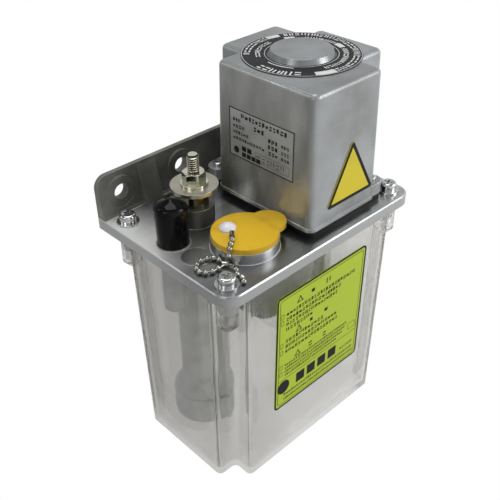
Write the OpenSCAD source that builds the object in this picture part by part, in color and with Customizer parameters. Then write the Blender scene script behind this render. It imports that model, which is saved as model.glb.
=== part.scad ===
// Spring discharge oil pump with a clear reservoir, a wall bracket and a motor-driven lift cam.
// Millimetres. X runs along the wall, Y towards the wall, Z up. The reservoir stands on Z = 0.

/* [Wall bracket] */
// Width of the plate along the wall
plate_w = 145; // [130:1:180]
// Depth of the plate, front edge to wall face
plate_d = 104.5; // [100:0.5:130]
// Thickness of the plate
plate_t = 6.5; // [5:0.5:9]
// Radius of the front corners
plate_r = 9; // [5:0.5:12]
// Bright chamfer along the top edge of the plate
plate_bevel = 0.7; // [0.3:0.1:1.5]
// Height of the wall flange above the plate
flange_h = 25.3; // [22:0.1:40]
// Thickness of the flange at its foot
flange_t = 5.6; // [4.5:0.1:9]
// Thickness of the flange at its top edge
flange_top_t = 2.8; // [2.2:0.1:4]
// Radius of the upper flange corners
flange_r = 7; // [3:0.5:10]
// Fillet between plate and flange
flange_fillet = 1.6; // [0.5:0.1:3]
// Wall bolt hole diameter, for M8
bolt_d = 9; // [6.6:0.1:11]
// Height of the wall bolt holes above the plate
bolt_z = 13.2; // [11:0.1:15]
// Distance of the outer wall bolt holes from the side edges
bolt_edge = 14; // [12:0.5:18]
// Distance of the inner wall bolt hole from the left side edge
bolt_inner = 56.5; // [52:0.5:60]
// Diameter of the bosses round the wall bolt holes
spot_d = 18.5; // [14:0.5:22]
// Flange thickness at the bosses round the wall bolt holes
spot_t = 4.7; // [4.3:0.1:5.3]
// Width of the cast pad on the flange
pad_w = 12; // [6:0.5:16]
// How far the cast pad stands out at its foot
pad_out = 3.5; // [1:0.1:5]
// Distance of the cast pad from the left edge
pad_left = 27.5; // [25:0.5:31]

/* [Reservoir] */
// Inner width of the rim margin between plate edge and reservoir
rim_in = 2.5; // [1.5:0.1:4]
// Distance of the reservoir's rear face from the wall face
tank_rear = 8.3; // [7.6:0.1:17]
// Height of the reservoir under the plate
tank_h = 137.5; // [120:0.5:200]
// Draft of each wall over the full height
tank_draft = 2.2; // [0.5:0.1:3]
// Wall thickness
tank_wall = 3; // [2:0.1:4]
// Side of the corner notches
notch = 13; // [12:0.1:14]
// Rounding of the notch tips and of the inner notch corner
notch_r = 3.5; // [1:0.1:5]
// Diameter of the screw bosses in the notches
boss_d = 11; // [10:0.1:12]
// Length of the screw bosses
boss_h = 21; // [18:0.5:30]
// Width of the seal cord in its groove under the plate
seal_w = 1.6; // [1:0.1:2]
// Height of the seal cord
seal_h = 1.3; // [0.8:0.1:2]

/* [Reservoir screws] */
// Distance of the screws from the side edges
screw_in = 9.4; // [8.5:0.1:10.5]
// Distance of the front screws from the front edge
screw_front = 10.6; // [9.5:0.1:11.5]
// Distance of the rear tank screws from the wall face
screw_wall = 14.8; // [14:0.1:15.5]
// Thread diameter
screw_d = 5; // [4:0.1:6]
// Screw length under the head
screw_l = 16; // [14:1:20]
// Head diameter
head_d = 9.3; // [8:0.1:10.5]
// Head height
head_h = 3.3; // [2.5:0.1:4]
// Cross recess width
recess_w = 1.1; // [0.8:0.1:1.5]
// Flat washer diameter
flat_d = 12.5; // [11:0.1:14]
// Flat washer thickness
flat_t = 1; // [0.6:0.1:1.5]
// Spring washer diameter
spring_w_d = 9; // [7.5:0.1:10]
// Spring washer thickness
spring_w_t = 1.3; // [1:0.1:1.6]
// Threaded insert diameter
insert_d = 8; // [7:0.1:9]
// Threaded insert length
insert_l = 10; // [8:0.5:12]
// Depth of the blind hole under the reservoir rim
blind_l = 17; // [14:0.5:19]

/* [Motor cover] */
// Left face of the cover from the left plate edge
cover_left = 65.8; // [65:0.1:68]
// Distance of the cover from the right plate edge
cover_right = 4.4; // [3.2:0.1:7.2]
// Front face of the cover from the front plate edge
cover_front = 7.6; // [6:0.1:9]
// Distance of the cover from the wall face
cover_rear = 9.9; // [8.9:0.1:12.9]
// Height of the cover over its gasket
cover_h = 75.5; // [65:0.5:90]
// Draft of each face over the height
cover_draft = 0.9; // [0.3:0.1:1.5]
// Radius of the upright corners
cover_r = 4; // [3:0.1:6]
// Fillet round the top
cover_fillet = 2.8; // [1.5:0.1:3]
// Wall thickness
cover_wall = 3; // [2:0.1:4]
// Front right notch along X
notch_a_x = 21.7; // [18:0.1:24]
// Front right notch along Y
notch_a_y = 16.9; // [15:0.1:18]
// Rear left notch along X
notch_b_x = 17; // [16:0.1:20]
// Rear left notch along Y
notch_b_y = 16; // [14:0.1:18]
// Rear right notch along X
notch_c_x = 12.2; // [12:0.1:14]
// Rear right notch along Y
notch_c_y = 23.6; // [20:0.1:26]
// Lip at the foot of the cover
lip_out = 0.6; // [0.2:0.1:1]
// Height of the lip
lip_h = 2; // [1:0.1:4]
// Radius of the screw ears
ear_r = 5.8; // [5:0.1:6.2]
// Height of the screw ears
ear_h = 7; // [5:0.5:10]
// Front ear from the right face of the cover
ear_a_in = 17.3; // [16.8:0.1:17.8]
// Front ear from the front plate edge
ear_a_y = 14.3; // [14:0.1:15]
// Rear ear from the left plate edge
ear_b_x = 74.5; // [74:0.1:75]
// Rear ear from the rear face of the cover
ear_b_in = 6.8; // [6.6:0.1:7.6]
// Cover screw thread diameter
cover_screw_d = 3; // [2.5:0.1:4]
// Cover screw head diameter
cover_head_d = 6; // [5:0.1:7]
// Cover screw head height
cover_head_h = 2.2; // [1.5:0.1:3]
// Gasket thickness
gasket_t = 3.7; // [2:0.1:5]
// How far the gasket stands back from the cover face
gasket_in = 1; // [0.5:0.1:1.5]
// Width of the gasket frame
gasket_w = 4.5; // [3:0.1:5.5]
// Diameter of the top disc at its foot
disc_d = 36; // [30:0.5:40]
// Diameter of the top disc at its top
disc_top_d = 33; // [28:0.5:36]
// Height of the top disc
disc_h = 3; // [1.5:0.1:4]
// Height of the cord hole over the plate
cord_z = 45; // [38:0.5:60]
// Cord grommet diameter
grommet_d = 14; // [12:0.5:16]
// Cord hole diameter
cord_d = 6; // [5:0.5:8]

/* [Labels] */
// Outer diameter of the round label
ring_d = 64; // [60:0.5:66]
// Clearance of the round label round the disc
ring_gap = 0.3; // [0.1:0.1:1]
// Thickness of the round label
ring_t = 0.4; // [0.2:0.1:0.6]
// Data plate width
data_w = 47; // [40:0.5:52]
// Data plate height
data_h = 28; // [22:0.5:32]
// Height of the data plate over the plate
data_z = 29.1; // [25:0.1:36]
// Data plate front edge from the front plate edge
data_front = 20.6; // [18:0.1:24]
// Thickness of the plates on the cover
plate_label_t = 0.5; // [0.3:0.1:0.8]
// Triangle width
tri_w = 35.8; // [30:0.1:37]
// Triangle height
tri_h = 32.4; // [26:0.1:34]
// Distance of the triangle from the front notch of the cover
tri_in = 4.5; // [3.1:0.1:7]
// Height of the triangle over the plate
tri_z = 13.8; // [12:0.1:20]
// Reservoir label width
label_w = 72.9; // [60:0.1:78]
// Reservoir label height
label_h = 83.3; // [70:0.1:90]
// Reservoir label left edge from the left plate edge
label_left = 36.3; // [33:0.1:38]
// Top of the reservoir label under the plate top
label_drop = 20.7; // [18:0.1:26]
// Corner radius of the reservoir label
label_r = 3; // [1:0.5:6]
// Thickness of the reservoir label
label_t = 0.3; // [0.2:0.05:0.5]

/* [Pump] */
// Pump axis from the left plate edge
pump_x = 37.4; // [37:0.1:38]
// Pump axis from the front plate edge
pump_y = 65.4; // [64.5:0.1:66]
// Stroke of the piston
stroke = 9; // [6:0.1:9]
// Piston rod diameter
rod_d = 8; // [7.5:0.1:8.5]
// Piston diameter
piston_d = 16; // [15.6:0.1:17]
// Piston length
piston_l = 12; // [9:0.5:14]
// Radial running clearance of rod, sleeve, piston and shafts
run_gap = 0.05; // [0.02:0.01:0.1]
// Column diameter
column_d = 26; // [25:0.1:28]
// Length of the column under the plate
column_l = 105.5; // [103:0.5:110]
// Height of the lever window
window_h = 20; // [18:0.5:22]
// Collar diameter
collar_d = 20.8; // [19.5:0.1:22]
// Collar height
collar_h = 11; // [9:0.5:13]
// Neck of the collar through the plate
neck_d = 17; // [15.5:0.1:18]
// Sleeve diameter
sleeve_d = 14.6; // [12:0.1:15]
// Length of the sleeve
sleeve_l = 12.4; // [11:0.1:13]
// Stop washer diameter
stop_d = 26; // [22:0.5:30]
// Stop washer thickness
stop_t = 2.2; // [1.5:0.1:3]
// Stud washer diameter
stud_washer_d = 15; // [13:0.5:17]
// Stud washer thickness
stud_washer_t = 1.4; // [1:0.1:2]
// Nut width across flats
nut_af = 11.2; // [10:0.1:13]
// Nut height
nut_h = 6; // [4.5:0.1:7]
// Stud diameter
stud_d = 5.9; // [5.5:0.1:6.4]
// Stud length above the nut
stud_over = 10; // [5:0.5:15]
// Lever collar on the rod
rod_collar_d = 14; // [12.5:0.1:14.5]
// Thickness of the lever collar
rod_collar_t = 2.5; // [2:0.1:3]
// Return spring wire diameter
spring_wire = 1.7; // [1:0.1:2.2]
// Turns of the return spring
spring_turns = 6; // [4:1:8]
// Length of the foot valve body
foot_l = 12; // [9:0.5:14]
// Valve ball diameter
ball_d = 6; // [5:0.1:7]
// Strainer diameter
strainer_d = 38; // [32:0.5:39]
// Height of the strainer cone
strainer_cone = 9.5; // [9:0.5:15.5]
// Diameter of the discharge gallery
gallery_d = 2.6; // [2:0.1:3]

/* [Lift drive] */
// Wheel centre from the left plate edge
wheel_x = 74.7; // [74.5:0.1:75]
// Wheel mid plane from the front plate edge
wheel_y = 40; // [39.5:0.1:40.5]
// Wheel centre under the plate top
wheel_drop = 39.9; // [39.5:0.1:40.5]
// Number of wheel teeth, a multiple of four
wheel_teeth = 60; // [52:4:64]
// Outer diameter of the wheel
wheel_od = 60.8; // [59:0.1:61]
// Wheel face width
wheel_w = 8; // [6:0.5:9]
// Hub diameter
hub_d = 16; // [12:0.5:20]
// Wheel shaft diameter
shaft_d = 6; // [5:0.1:8]
// Worm axis from the left plate edge
worm_x = 112.5; // [112.2:0.1:113]
// Worm core diameter, clear of the teeth
worm_d = 13; // [11:0.1:13.2]
// Worm length
worm_l = 24; // [18:0.5:28]
// Worm shaft diameter
worm_shaft_d = 6; // [5:0.1:7]
// Length of the plain tail under the worm
worm_tail = 13; // [8:0.5:16]
// Worm housing diameter
housing_d = 18; // [16:0.1:20]
// Gap between the worm and its housing
housing_gap = 2; // [1:0.1:4]
// Width of the housing flange round the housing
housing_rim = 3.5; // [2:0.1:4]
// Thickness of the housing flange
housing_rim_t = 3; // [2:0.1:4]
// Cam radius at the top of the lift
cam_r = 12; // [11:0.1:13]
// Cam and lever thickness
cam_w = 5; // [4:0.1:6]
// Gap between cam and lever when the lever is up
cam_gap = 0.3; // [0.2:0.05:0.5]
// Lever pivot from the left plate edge
pivot_x = 100; // [99.5:0.1:100.5]
// Lever pin diameter
pin_d = 5; // [4:0.1:6]
// Lever height
lever_t = 5; // [4:0.1:5.4]
// Thickness of the frame cheeks
cheek_t = 3; // [2:0.1:3.5]
// Thickness of the gear frame's top
frame_t = 4; // [3:0.5:4]
// How far the gear frame reaches past the wheel shaft
frame_over = 10; // [9:0.5:12]
// How far the gear frame reaches past the lever pin
frame_past = 7; // [6:0.5:9]
// Width of each fork arm beside the rod slot
fork_side = 2.6; // [2:0.1:2.8]
// Distance from cam centre plane to a cheek
cheek_gap = 10.5; // [9:0.1:11]
// Motor diameter
motor_d = 46; // [40:0.5:48]
// How far the foot of the motor stands out
motor_foot = 0.8; // [0.4:0.1:1.5]
// Clearance of the gasket round the foot of the motor
motor_gap = 0.4; // [0.2:0.1:1]
// Motor height
motor_h = 44; // [35:0.5:55]

/* [Outlet and filler] */
// Outlet axis from the left plate edge
outlet_x = 14.1; // [14:0.1:14.5]
// Outlet axis from the front plate edge
outlet_y = 56.8; // [55:0.1:58]
// Outlet spigot diameter
spigot_d = 13; // [11:0.1:14]
// Outlet spigot length
spigot_l = 20; // [16:0.5:23]
// Outlet bore diameter
outlet_bore = 4; // [3:0.1:5]
// Vinyl cap diameter at its mouth
vinyl_d = 16.6; // [15.8:0.1:17.2]
// Vinyl cap diameter at its shoulder
vinyl_top_d = 17.6; // [16.5:0.1:18.5]
// Vinyl cap height
vinyl_h = 25.5; // [24:0.5:30]
// Rounding of the vinyl cap shoulder
vinyl_r = 3.5; // [2:0.1:5]
// Relief valve body diameter
valve_d = 13; // [12:0.1:13.5]
// Relief valve body length
valve_l = 33; // [28:0.5:36]
// Blank plug diameter
plug_d = 16; // [13:0.5:17]
// Blank plug from the left plate edge
plug_x = 14.3; // [14:0.1:15]
// Blank plug from the front plate edge
plug_y = 38.6; // [37:0.1:39.5]
// Filler axis from the left plate edge
filler_x = 39.1; // [38.5:0.1:40]
// Filler axis from the front plate edge
filler_y = 28.8; // [28:0.1:30]
// Filler neck diameter
filler_d = 36.4; // [34:0.1:37]
// Filler neck height
filler_h = 6; // [5:0.1:8]
// Filler bore diameter
filler_bore = 29; // [26:0.5:30]
// Filler cap diameter
cap_d = 35.4; // [33:0.1:37]
// Filler cap thickness
cap_t = 2.8; // [2:0.1:4]
// Depth of the cap's skirt in the filler bore
skirt_h = 2.6; // [1.5:0.1:3]
// Finger lobe radius
lobe_r = 9.8; // [8:0.1:10.5]
// Distance of the finger lobe centre from the filler axis
lobe_off = 15.5; // [14:0.1:17]
// White pin head diameter
pin_head_d = 9; // [7:0.1:10]

/* [Bead chain] */
// Bead diameter
bead_d = 3; // [2.4:0.1:3.2]
// Link wire diameter
wire_d = 0.9; // [0.6:0.1:1.2]
// Half length of the loop along X
loop_rx = 6.8; // [6:0.1:7]
// Half length of the loop along Y
loop_ry = 5.4; // [4.8:0.1:5.8]
// Beads in the loop
loop_beads = 10; // [8:1:10]
// Coupling diameter
coupling_d = 2.8; // [2:0.1:3]
// Coupling length
coupling_l = 3.8; // [3:0.1:4.5]

/* [Node] */
// Which piece to draw

/* [Hidden] */
$fn = 64;
eps = 0.01;
seat = 0.02;

top = tank_h + plate_t;
hx = plate_w / 2;
hy = plate_d / 2;
tank_w = plate_w - 2 * rim_in;
tank_d = plate_d - rim_in - tank_rear;
tank_cy = -hy + rim_in + tank_d / 2;
bolt_xs = [-hx + bolt_edge, -hx + bolt_inner, hx - bolt_edge];
screw_rear = plate_d - screw_wall;
screw_ys = [screw_front - hy, screw_rear - hy];
washer_z = top + flat_t;
head_z = washer_z + spring_w_t;
seal_in = (tank_wall - seal_w) / 2;

// Cover rectangles: [x0, y0, x1, y1] in plate distances, which together leave the three notches open.
cx1 = plate_w - cover_right;
cy1 = plate_d - cover_rear;
cover_rects = [
    [cover_left, cover_front, cx1 - notch_a_x, cy1 - notch_b_y],
    [cover_left, cover_front + notch_a_y, cx1, cy1 - notch_c_y],
    [cover_left + notch_b_x, cover_front + notch_a_y, cx1 - notch_c_x, cy1],
    [cover_left + notch_b_x, cover_front, cx1 - notch_a_x, cy1]
];
cover_z = top + gasket_t;
cover_top = cover_z + cover_h;
motor_x = (cover_left + cx1) / 2;
motor_y = (cover_front + cy1) / 2;
ear_a_x = cx1 - ear_a_in;
ear_b_y = cy1 - ear_b_in;
tri_left = cx1 - notch_a_x - tri_in - tri_w;
lean = atan(cover_draft / cover_h);
ear_reach = 10;
boss_tip = 3;
tank_lean = atan(tank_draft / tank_h);
ears = [[ear_a_x, ear_a_y, 1, -1], [ear_b_x, ear_b_y, -1, 1]];

// Pump heights.
collar_top = top + collar_h;
sleeve_top = top + collar_h + stroke + 0.4;
stop_z = sleeve_top;
stud_washer_z = stop_z + stop_t;
nut_z = stud_washer_z + stud_washer_t;
stud_top = nut_z + nut_h + stud_over;
sleeve_bottom = sleeve_top - sleeve_l;
neck_l = plate_t + 5;
lever_under = top - wheel_drop + cam_r + cam_gap;
boss_r = pin_d / 2 + 2.4;
pivot_z = lever_under + boss_r;
fork_top = lever_under + lever_t;
collar_under = fork_top + cam_gap;
column_bottom = tank_h - column_l;
bore_r = piston_d / 2;
piston_z = column_bottom + stroke + 4.5;
web_z = lever_under - stroke - 6;
web_t = 4;
window_top = fork_top + 2.5;
spring_bottom = piston_z + piston_l;
spring_top = web_z - web_t;
foot_z = column_bottom;
strainer_top = column_bottom;
strainer_z = 4.5;
strainer_h = strainer_top - strainer_z - strainer_cone;
gallery_dir = atan2(outlet_y - pump_y, outlet_x - pump_x);
gallery_off = bore_r + (column_d / 2 - bore_r) / 2;
outlet_dist = sqrt(pow(outlet_x - pump_x, 2) + pow(outlet_y - pump_y, 2));

// Lift drive.
wheel_z = top - wheel_drop;
tooth_module = wheel_od / (wheel_teeth + 2);
root_r = wheel_od / 2 - 2.25 * tooth_module;
lever_arm = pivot_x - pump_x;
cam_arm = pivot_x - wheel_x;
cam_drop = stroke * cam_arm / lever_arm;
cam_low = cam_r - cam_drop - 0.1;
cheek_y = [pump_y - cheek_gap - cheek_t, pump_y + cheek_gap];
shaft_front = wheel_y - wheel_w / 2 - 4;
shaft_back = cheek_y[1] + cheek_t + 2;
housing_r = housing_d / 2;
motor_z = top;

// Chain: a lead on the cap, a loop on the plate and a tail that ends beside the front screw.
loop_z = top + bead_d / 2;
cap_z = top + filler_h + cap_t + bead_d / 2;
joint_a = [19.3 - hx, 22 - hy, top + coupling_d / 2];
joint_b = [22.2 - hx, 17.6 - hy, top + coupling_d / 2];
crimp_at = [30.5 - hx, 29.3 - hy, cap_z];
lead_path = [
    [27.6 - hx, 26 - hy, cap_z],
    [24.2 - hx, 23.4 - hy, cap_z],
    [21.5 - hx, 21.4 - hy, cap_z - 0.5],
    [20.5 - hx, 21.2 - hy, cap_z - 4.1]
];
tail_path = [
    [19.4 - hx, 14.8 - hy, loop_z],
    [17.4 - hx, 12 - hy, loop_z],
    [17.5 - hx, 8.5 - hy, loop_z],
    [15.7 - hx, 5.3 - hy, loop_z]
];
loop_path = [for (i = [0 : loop_beads - 1])
    let (a = -4 + i * 290 / (loop_beads - 1))
    [12.4 - hx + loop_rx * cos(a), 27.3 - hy + loop_ry * sin(a), loop_z]];

// Valves on the outlet axis.
stem_r = spigot_d / 2 - 1;
stem_z = tank_h - 4;
check_z = top + 2;
ball_lift = sqrt(pow(ball_d / 2, 2) - pow(outlet_bore / 2, 2));
relief_floor = tank_h - 1.5 - valve_l + 6;

function px(d) = d - hx;
function py(d) = d - hy;

// Flat outline of the reservoir, pulled in by i from its outer face.
module tank_outline(i) {
    r = max(notch_r - i, 0.5);
    rc = notch_r + i;
    w = tank_w / 2 - i;
    d = tank_d / 2 - i;
    rounded_rect(w, d - notch, r);
    rounded_rect(w - notch, d, r);
    for (sx = [-1, 1], sy = [-1, 1])
        translate([sx * (w - notch), sy * (d - notch)])
            mirror([sx < 0 ? 1 : 0, 0])
                mirror([0, sy < 0 ? 1 : 0])
                    difference() {
                        square(rc);
                        translate([rc, rc])
                            circle(rc);
                    }
}

// Rectangle of half sizes w and d with corner radius r.
module rounded_rect(w, d, r) {
    translate([-w, -d + r])
        square([2 * w, 2 * (d - r)]);
    translate([-w + r, -d])
        square([2 * (w - r), 2 * d]);
    for (sx = [-1, 1], sy = [-1, 1])
        translate([sx * (w - r), sy * (d - r)])
            circle(r);
}

// Extrude a profile drawn in (Y, Z) along X from x0 over a length.
module along_x(x0, length) {
    translate([x0, 0, 0])
        rotate([90, 0, 90])
            linear_extrude(height = length)
                children();
}

// Extrude a profile drawn in (X, Z) towards -Y from y0 over a length.
module along_y(y0, length) {
    translate([0, y0, 0])
        rotate([90, 0, 0])
            linear_extrude(height = length)
                children();
}

// Cylinder whose axis runs along Y, from y0 to y1.
module y_cylinder(x, z, y0, y1, r) {
    translate([x, y1, z])
        rotate([90, 0, 0])
            cylinder(h = y1 - y0, r = r);
}

// Ring between two radii.
module ring(h, r_out, r_in) {
    difference() {
        cylinder(h = h, r = r_out);
        translate([0, 0, -1])
            cylinder(h = h + 2, r = r_in);
    }
}

module at_screws(z) {
    for (sx = [-1, 1], y = screw_ys)
        translate([sx * (hx - screw_in), y, z])
            children();
}

module at_pump(z) {
    translate([px(pump_x), py(pump_y), z])
        children();
}

module bracket_plate() {
    low = tank_h;
    high = top;
    b = plate_bevel;
    along_x(-hx + plate_r, plate_w - 2 * plate_r)
        polygon([[-hy, low], [hy, low], [hy, high], [-hy + b, high], [-hy, high - b]]);
    along_y(hy, plate_d - plate_r)
        polygon([[-hx, low], [hx, low], [hx, high - b], [hx - b, high], [-hx + b, high], [-hx, high - b]]);
    for (s = [-1, 1])
        translate([s * (hx - plate_r), -hy + plate_r, low])
            rotate_extrude()
                polygon([[0, 0], [plate_r, 0], [plate_r, plate_t - b], [plate_r - b, plate_t], [0, plate_t]]);
}

module flange_outline() {
    h = plate_t + flange_h;
    translate([-hx, tank_h])
        square([plate_w, h - flange_r]);
    translate([-hx + flange_r, tank_h])
        square([plate_w - 2 * flange_r, h]);
    for (s = [-1, 1])
        translate([s * (hx - flange_r), tank_h + h - flange_r])
            circle(flange_r);
}

module wall_flange() {
    foot_y = hy - flange_t;
    head_y = hy - flange_top_t;
    crest = top + flange_h;
    difference() {
        along_y(hy, flange_t)
            flange_outline();
        along_x(-hx - 1, plate_w + 2)
            polygon([[foot_y - 1, top], [foot_y, top], [head_y, crest], [head_y, crest + 1], [foot_y - 1, crest + 1]]);
    }
    for (x = bolt_xs)
        y_cylinder(x, top + bolt_z, hy - spot_t, hy, spot_d / 2);
    along_x(px(pad_left), pad_w)
        polygon([[foot_y - pad_out, top - 1], [hy - 1, top - 1], [hy - 1, crest - 1], [head_y, crest - 1],
                 [foot_y - pad_out, top]]);
    along_x(-hx, plate_w)
        difference() {
            translate([foot_y - flange_fillet, top - 0.5])
                square([flange_fillet + 0.5, flange_fillet + 0.5]);
            translate([foot_y - flange_fillet, top + flange_fillet])
                circle(flange_fillet);
        }
}

module bolt_cuts() {
    for (x = bolt_xs) {
        y_cylinder(x, top + bolt_z, hy - flange_t - 6, hy + 1, bolt_d / 2);
        y_cylinder(x, top + bolt_z, hy - flange_t - 6, hy - spot_t, spot_d / 2);
    }
}

module mounting_bracket() {
    color([0.62, 0.63, 0.62])
        difference() {
            union() {
                bracket_plate();
                wall_flange();
            }
            bolt_cuts();
            at_screws(tank_h - 1)
                cylinder(h = plate_t + 2, r = screw_d / 2 + 0.3);
            at_pump(tank_h - 1)
                cylinder(h = plate_t + 2, r = neck_d / 2 + 0.05);
            translate([px(filler_x), py(filler_y), tank_h - 1])
                cylinder(h = plate_t + 2, r = filler_bore / 2 + 1.5);
            at_outlet(tank_h - 1)
                cylinder(h = plate_t + 2, r = stem_r + 0.05);
            translate([px(plug_x), py(plug_y), tank_h + 2])
                cylinder(h = plate_t, r = plug_d / 2 + 0.1);
            translate([px(worm_x), py(wheel_y), tank_h - 1])
                cylinder(h = plate_t + 2, r = worm_shaft_d / 2 + 0.5);
            for (e = ears)
                translate([px(e[0]), py(e[1]), top - 5])
                    cylinder(h = 6, r = cover_screw_d / 2);
            translate([0, tank_cy, tank_h - 1])
                linear_extrude(height = seal_h + 1)
                    difference() {
                        tank_outline(seal_in);
                        tank_outline(seal_in + seal_w);
                    }
            at_pump(tank_h - 1)
                rotate([0, 0, gallery_dir])
                    translate([gallery_off, 0, 0])
                        cylinder(h = 1 + plate_t / 2, r = gallery_d / 2);
            at_pump(tank_h + plate_t / 2)
                rotate([0, 90, gallery_dir])
                    translate([0, 0, gallery_off])
                        cylinder(h = outlet_dist - gallery_off, r = gallery_d / 2);
        }
}

module tank_seal() {
    color([0.12, 0.12, 0.12])
        translate([0, tank_cy, tank_h + seat])
            linear_extrude(height = seal_h - seat)
                difference() {
                    tank_outline(seal_in);
                    tank_outline(seal_in + seal_w);
                }
}

module tank_skin(i, h) {
    translate([0, tank_cy, tank_h])
        mirror([0, 0, 1])
            linear_extrude(height = h, slices = 1, scale = [1 - 2 * tank_draft * h / tank_h / tank_w, 1 - 2 * tank_draft * h / tank_h / tank_d])
                tank_outline(i);
}

// Webs that carry the bosses out of the inner corners of the notches.
module boss_webs() {
    reach_x = rim_in + notch + 1 - screw_in;
    front_reach = rim_in + notch + 1 - screw_front;
    rear_reach = screw_rear - (rim_in + tank_d - notch - 1);
    h = boss_h - boss_tip - 2;
    for (s = [-1, 1]) {
        x = s * (hx - screw_in);
        translate([s < 0 ? x : x - reach_x, screw_ys[0], tank_h - h])
            cube([reach_x, front_reach, h]);
        translate([s < 0 ? x : x - reach_x, screw_ys[1] - rear_reach, tank_h - h])
            cube([reach_x, rear_reach, h]);
    }
}

module reservoir_tank() {
    color([0.85, 0.88, 0.88, 0.35])
        difference() {
            union() {
                difference() {
                    tank_skin(0, tank_h, $fn = 48);
                    translate([0, 0, 1])
                        tank_skin(tank_wall, tank_h - tank_wall + 1, $fn = 48);
                }
                at_screws(tank_h - boss_h + boss_tip)
                    cylinder(h = boss_h - boss_tip, r = boss_d / 2);
                at_screws(tank_h - boss_h)
                    cylinder(h = boss_tip, r1 = boss_d / 2 - boss_tip * 0.8, r2 = boss_d / 2);
                boss_webs();
            }
            at_screws(tank_h - blind_l)
                cylinder(h = blind_l + 1, r = screw_d / 2 + 0.4);
            at_screws(tank_h - insert_l)
                cylinder(h = insert_l + 1, r = insert_d / 2);
        }
}

module tank_inserts() {
    color([0.55, 0.56, 0.56])
        at_screws(tank_h - insert_l + seat)
            ring(insert_l - 2 * seat, insert_d / 2 - seat, screw_d / 2 + seat);
}

module tank_flat_washers() {
    color([0.78, 0.78, 0.76])
        at_screws(top)
            ring(flat_t, flat_d / 2, screw_d / 2 + 0.2);
}

module tank_spring_washers() {
    color([0.72, 0.73, 0.72])
        at_screws(washer_z)
            difference() {
                ring(spring_w_t, spring_w_d / 2, screw_d / 2 + 0.2);
                translate([0, -0.4, -1])
                    cube([spring_w_d, 0.8, spring_w_t + 2]);
            }
}

module cross_recess(z, w, reach, depth) {
    for (a = [0, 90])
        rotate([0, 0, a + 20])
            translate([-reach, -w / 2, z - depth])
                cube([2 * reach, w, depth + 1]);
}

module pan_head(d, h) {
    crown = h * 0.45;
    rotate_extrude()
        difference() {
            union() {
                square([d / 2, h - crown]);
                translate([0, h - crown])
                    square([d / 2 - crown, crown]);
                translate([d / 2 - crown, h - crown])
                    circle(crown);
            }
            translate([-d, -1])
                square([d, h + 2]);
        }
}

module tank_screws() {
    color([0.8, 0.8, 0.78])
        at_screws(head_z)
            difference() {
                union() {
                    pan_head(head_d, head_h);
                    translate([0, 0, -screw_l])
                        cylinder(h = screw_l + 0.1, r = screw_d / 2);
                }
                cross_recess(head_h, recess_w, head_d * 0.27, head_h * 0.5);
            }
}

// Flat outline of the cover, pulled in by i.
module cover_outline(i) {
    for (c = cover_rects)
        translate([px((c[0] + c[2]) / 2), py((c[1] + c[3]) / 2)])
            rounded_rect((c[2] - c[0]) / 2 - i, (c[3] - c[1]) / 2 - i, max(cover_r - i, 0.5));
}

// Screw ears, each a disc with two webs into the walls of its notch.
module ear_outline(grow) {
    r = ear_r + grow;
    for (e = ears)
        translate([px(e[0]), py(e[1])])
            mirror([e[2] < 0 ? 1 : 0, 0])
                mirror([0, e[3] > 0 ? 1 : 0]) {
                    circle(r);
                    translate([-ear_reach, -r])
                        square([ear_reach, 2 * r]);
                    translate([-r, 0])
                        square([r, ear_reach]);
                }
}

module cover_gasket() {
    color([0.1, 0.1, 0.11])
        translate([0, 0, top])
            difference() {
                linear_extrude(height = gasket_t)
                    union() {
                        difference() {
                            cover_outline(gasket_in);
                            cover_outline(gasket_in + gasket_w);
                        }
                        ear_outline(-gasket_in / 2);
                    }
                for (e = ears)
                    translate([px(e[0]), py(e[1]), -1])
                        cylinder(h = gasket_t + 2, r = cover_screw_d / 2 + 0.2);
                translate([px(motor_x), py(motor_y), -1])
                    cylinder(h = gasket_t + 2, r = motor_d / 2 + motor_foot + motor_gap);
            }
}

// One block of the cover with drafted faces, upright corners and a rounded top edge.
module cover_block(c) {
    top_r = cover_r - cover_fillet;
    hull()
        for (x = [0, 2], y = [1, 3]) {
            sx = x == 0 ? 1 : -1;
            sy = y == 1 ? 1 : -1;
            translate([px(c[x]) + sx * cover_r, py(c[y]) + sy * cover_r, cover_z])
                cylinder(h = 0.5, r = cover_r, $fn = 32);
            translate([px(c[x]) + sx * (cover_r + cover_draft), py(c[y]) + sy * (cover_r + cover_draft), cover_top - cover_fillet])
                rotate_extrude($fn = 32)
                    intersection() {
                        union() {
                            translate([top_r, 0])
                                circle(cover_fillet, $fn = 24);
                            square([top_r, cover_fillet]);
                        }
                        square([cover_r, cover_fillet]);
                    }
        }
}

module cover_cavity(c) {
    i = cover_wall + cover_draft;
    translate([px(c[0]) + i, py(c[1]) + i, cover_z - 1])
        cube([c[2] - c[0] - 2 * i, c[3] - c[1] - 2 * i, cover_h - cover_wall + 1]);
}

module motor_cover() {
    color([0.55, 0.57, 0.58])
        difference() {
            union() {
                for (c = cover_rects)
                    cover_block(c);
                translate([0, 0, cover_z])
                    linear_extrude(height = lip_h)
                        cover_outline(-lip_out);
                translate([0, 0, cover_z])
                    linear_extrude(height = ear_h)
                        ear_outline(0);
                translate([px(motor_x), py(motor_y), cover_top])
                    cylinder(h = disc_h, r1 = disc_d / 2, r2 = disc_top_d / 2);
            }
            for (c = cover_rects)
                cover_cavity(c);
            for (e = ears)
                translate([px(e[0]), py(e[1]), cover_z - 1])
                    cylinder(h = ear_h + 2, r = cover_screw_d / 2 + 0.2);
            y_cylinder(px(motor_x), top + cord_z, py(cy1) - cover_wall - 5, py(cy1) + 2, grommet_d / 2 - 2);
        }
}

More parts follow.
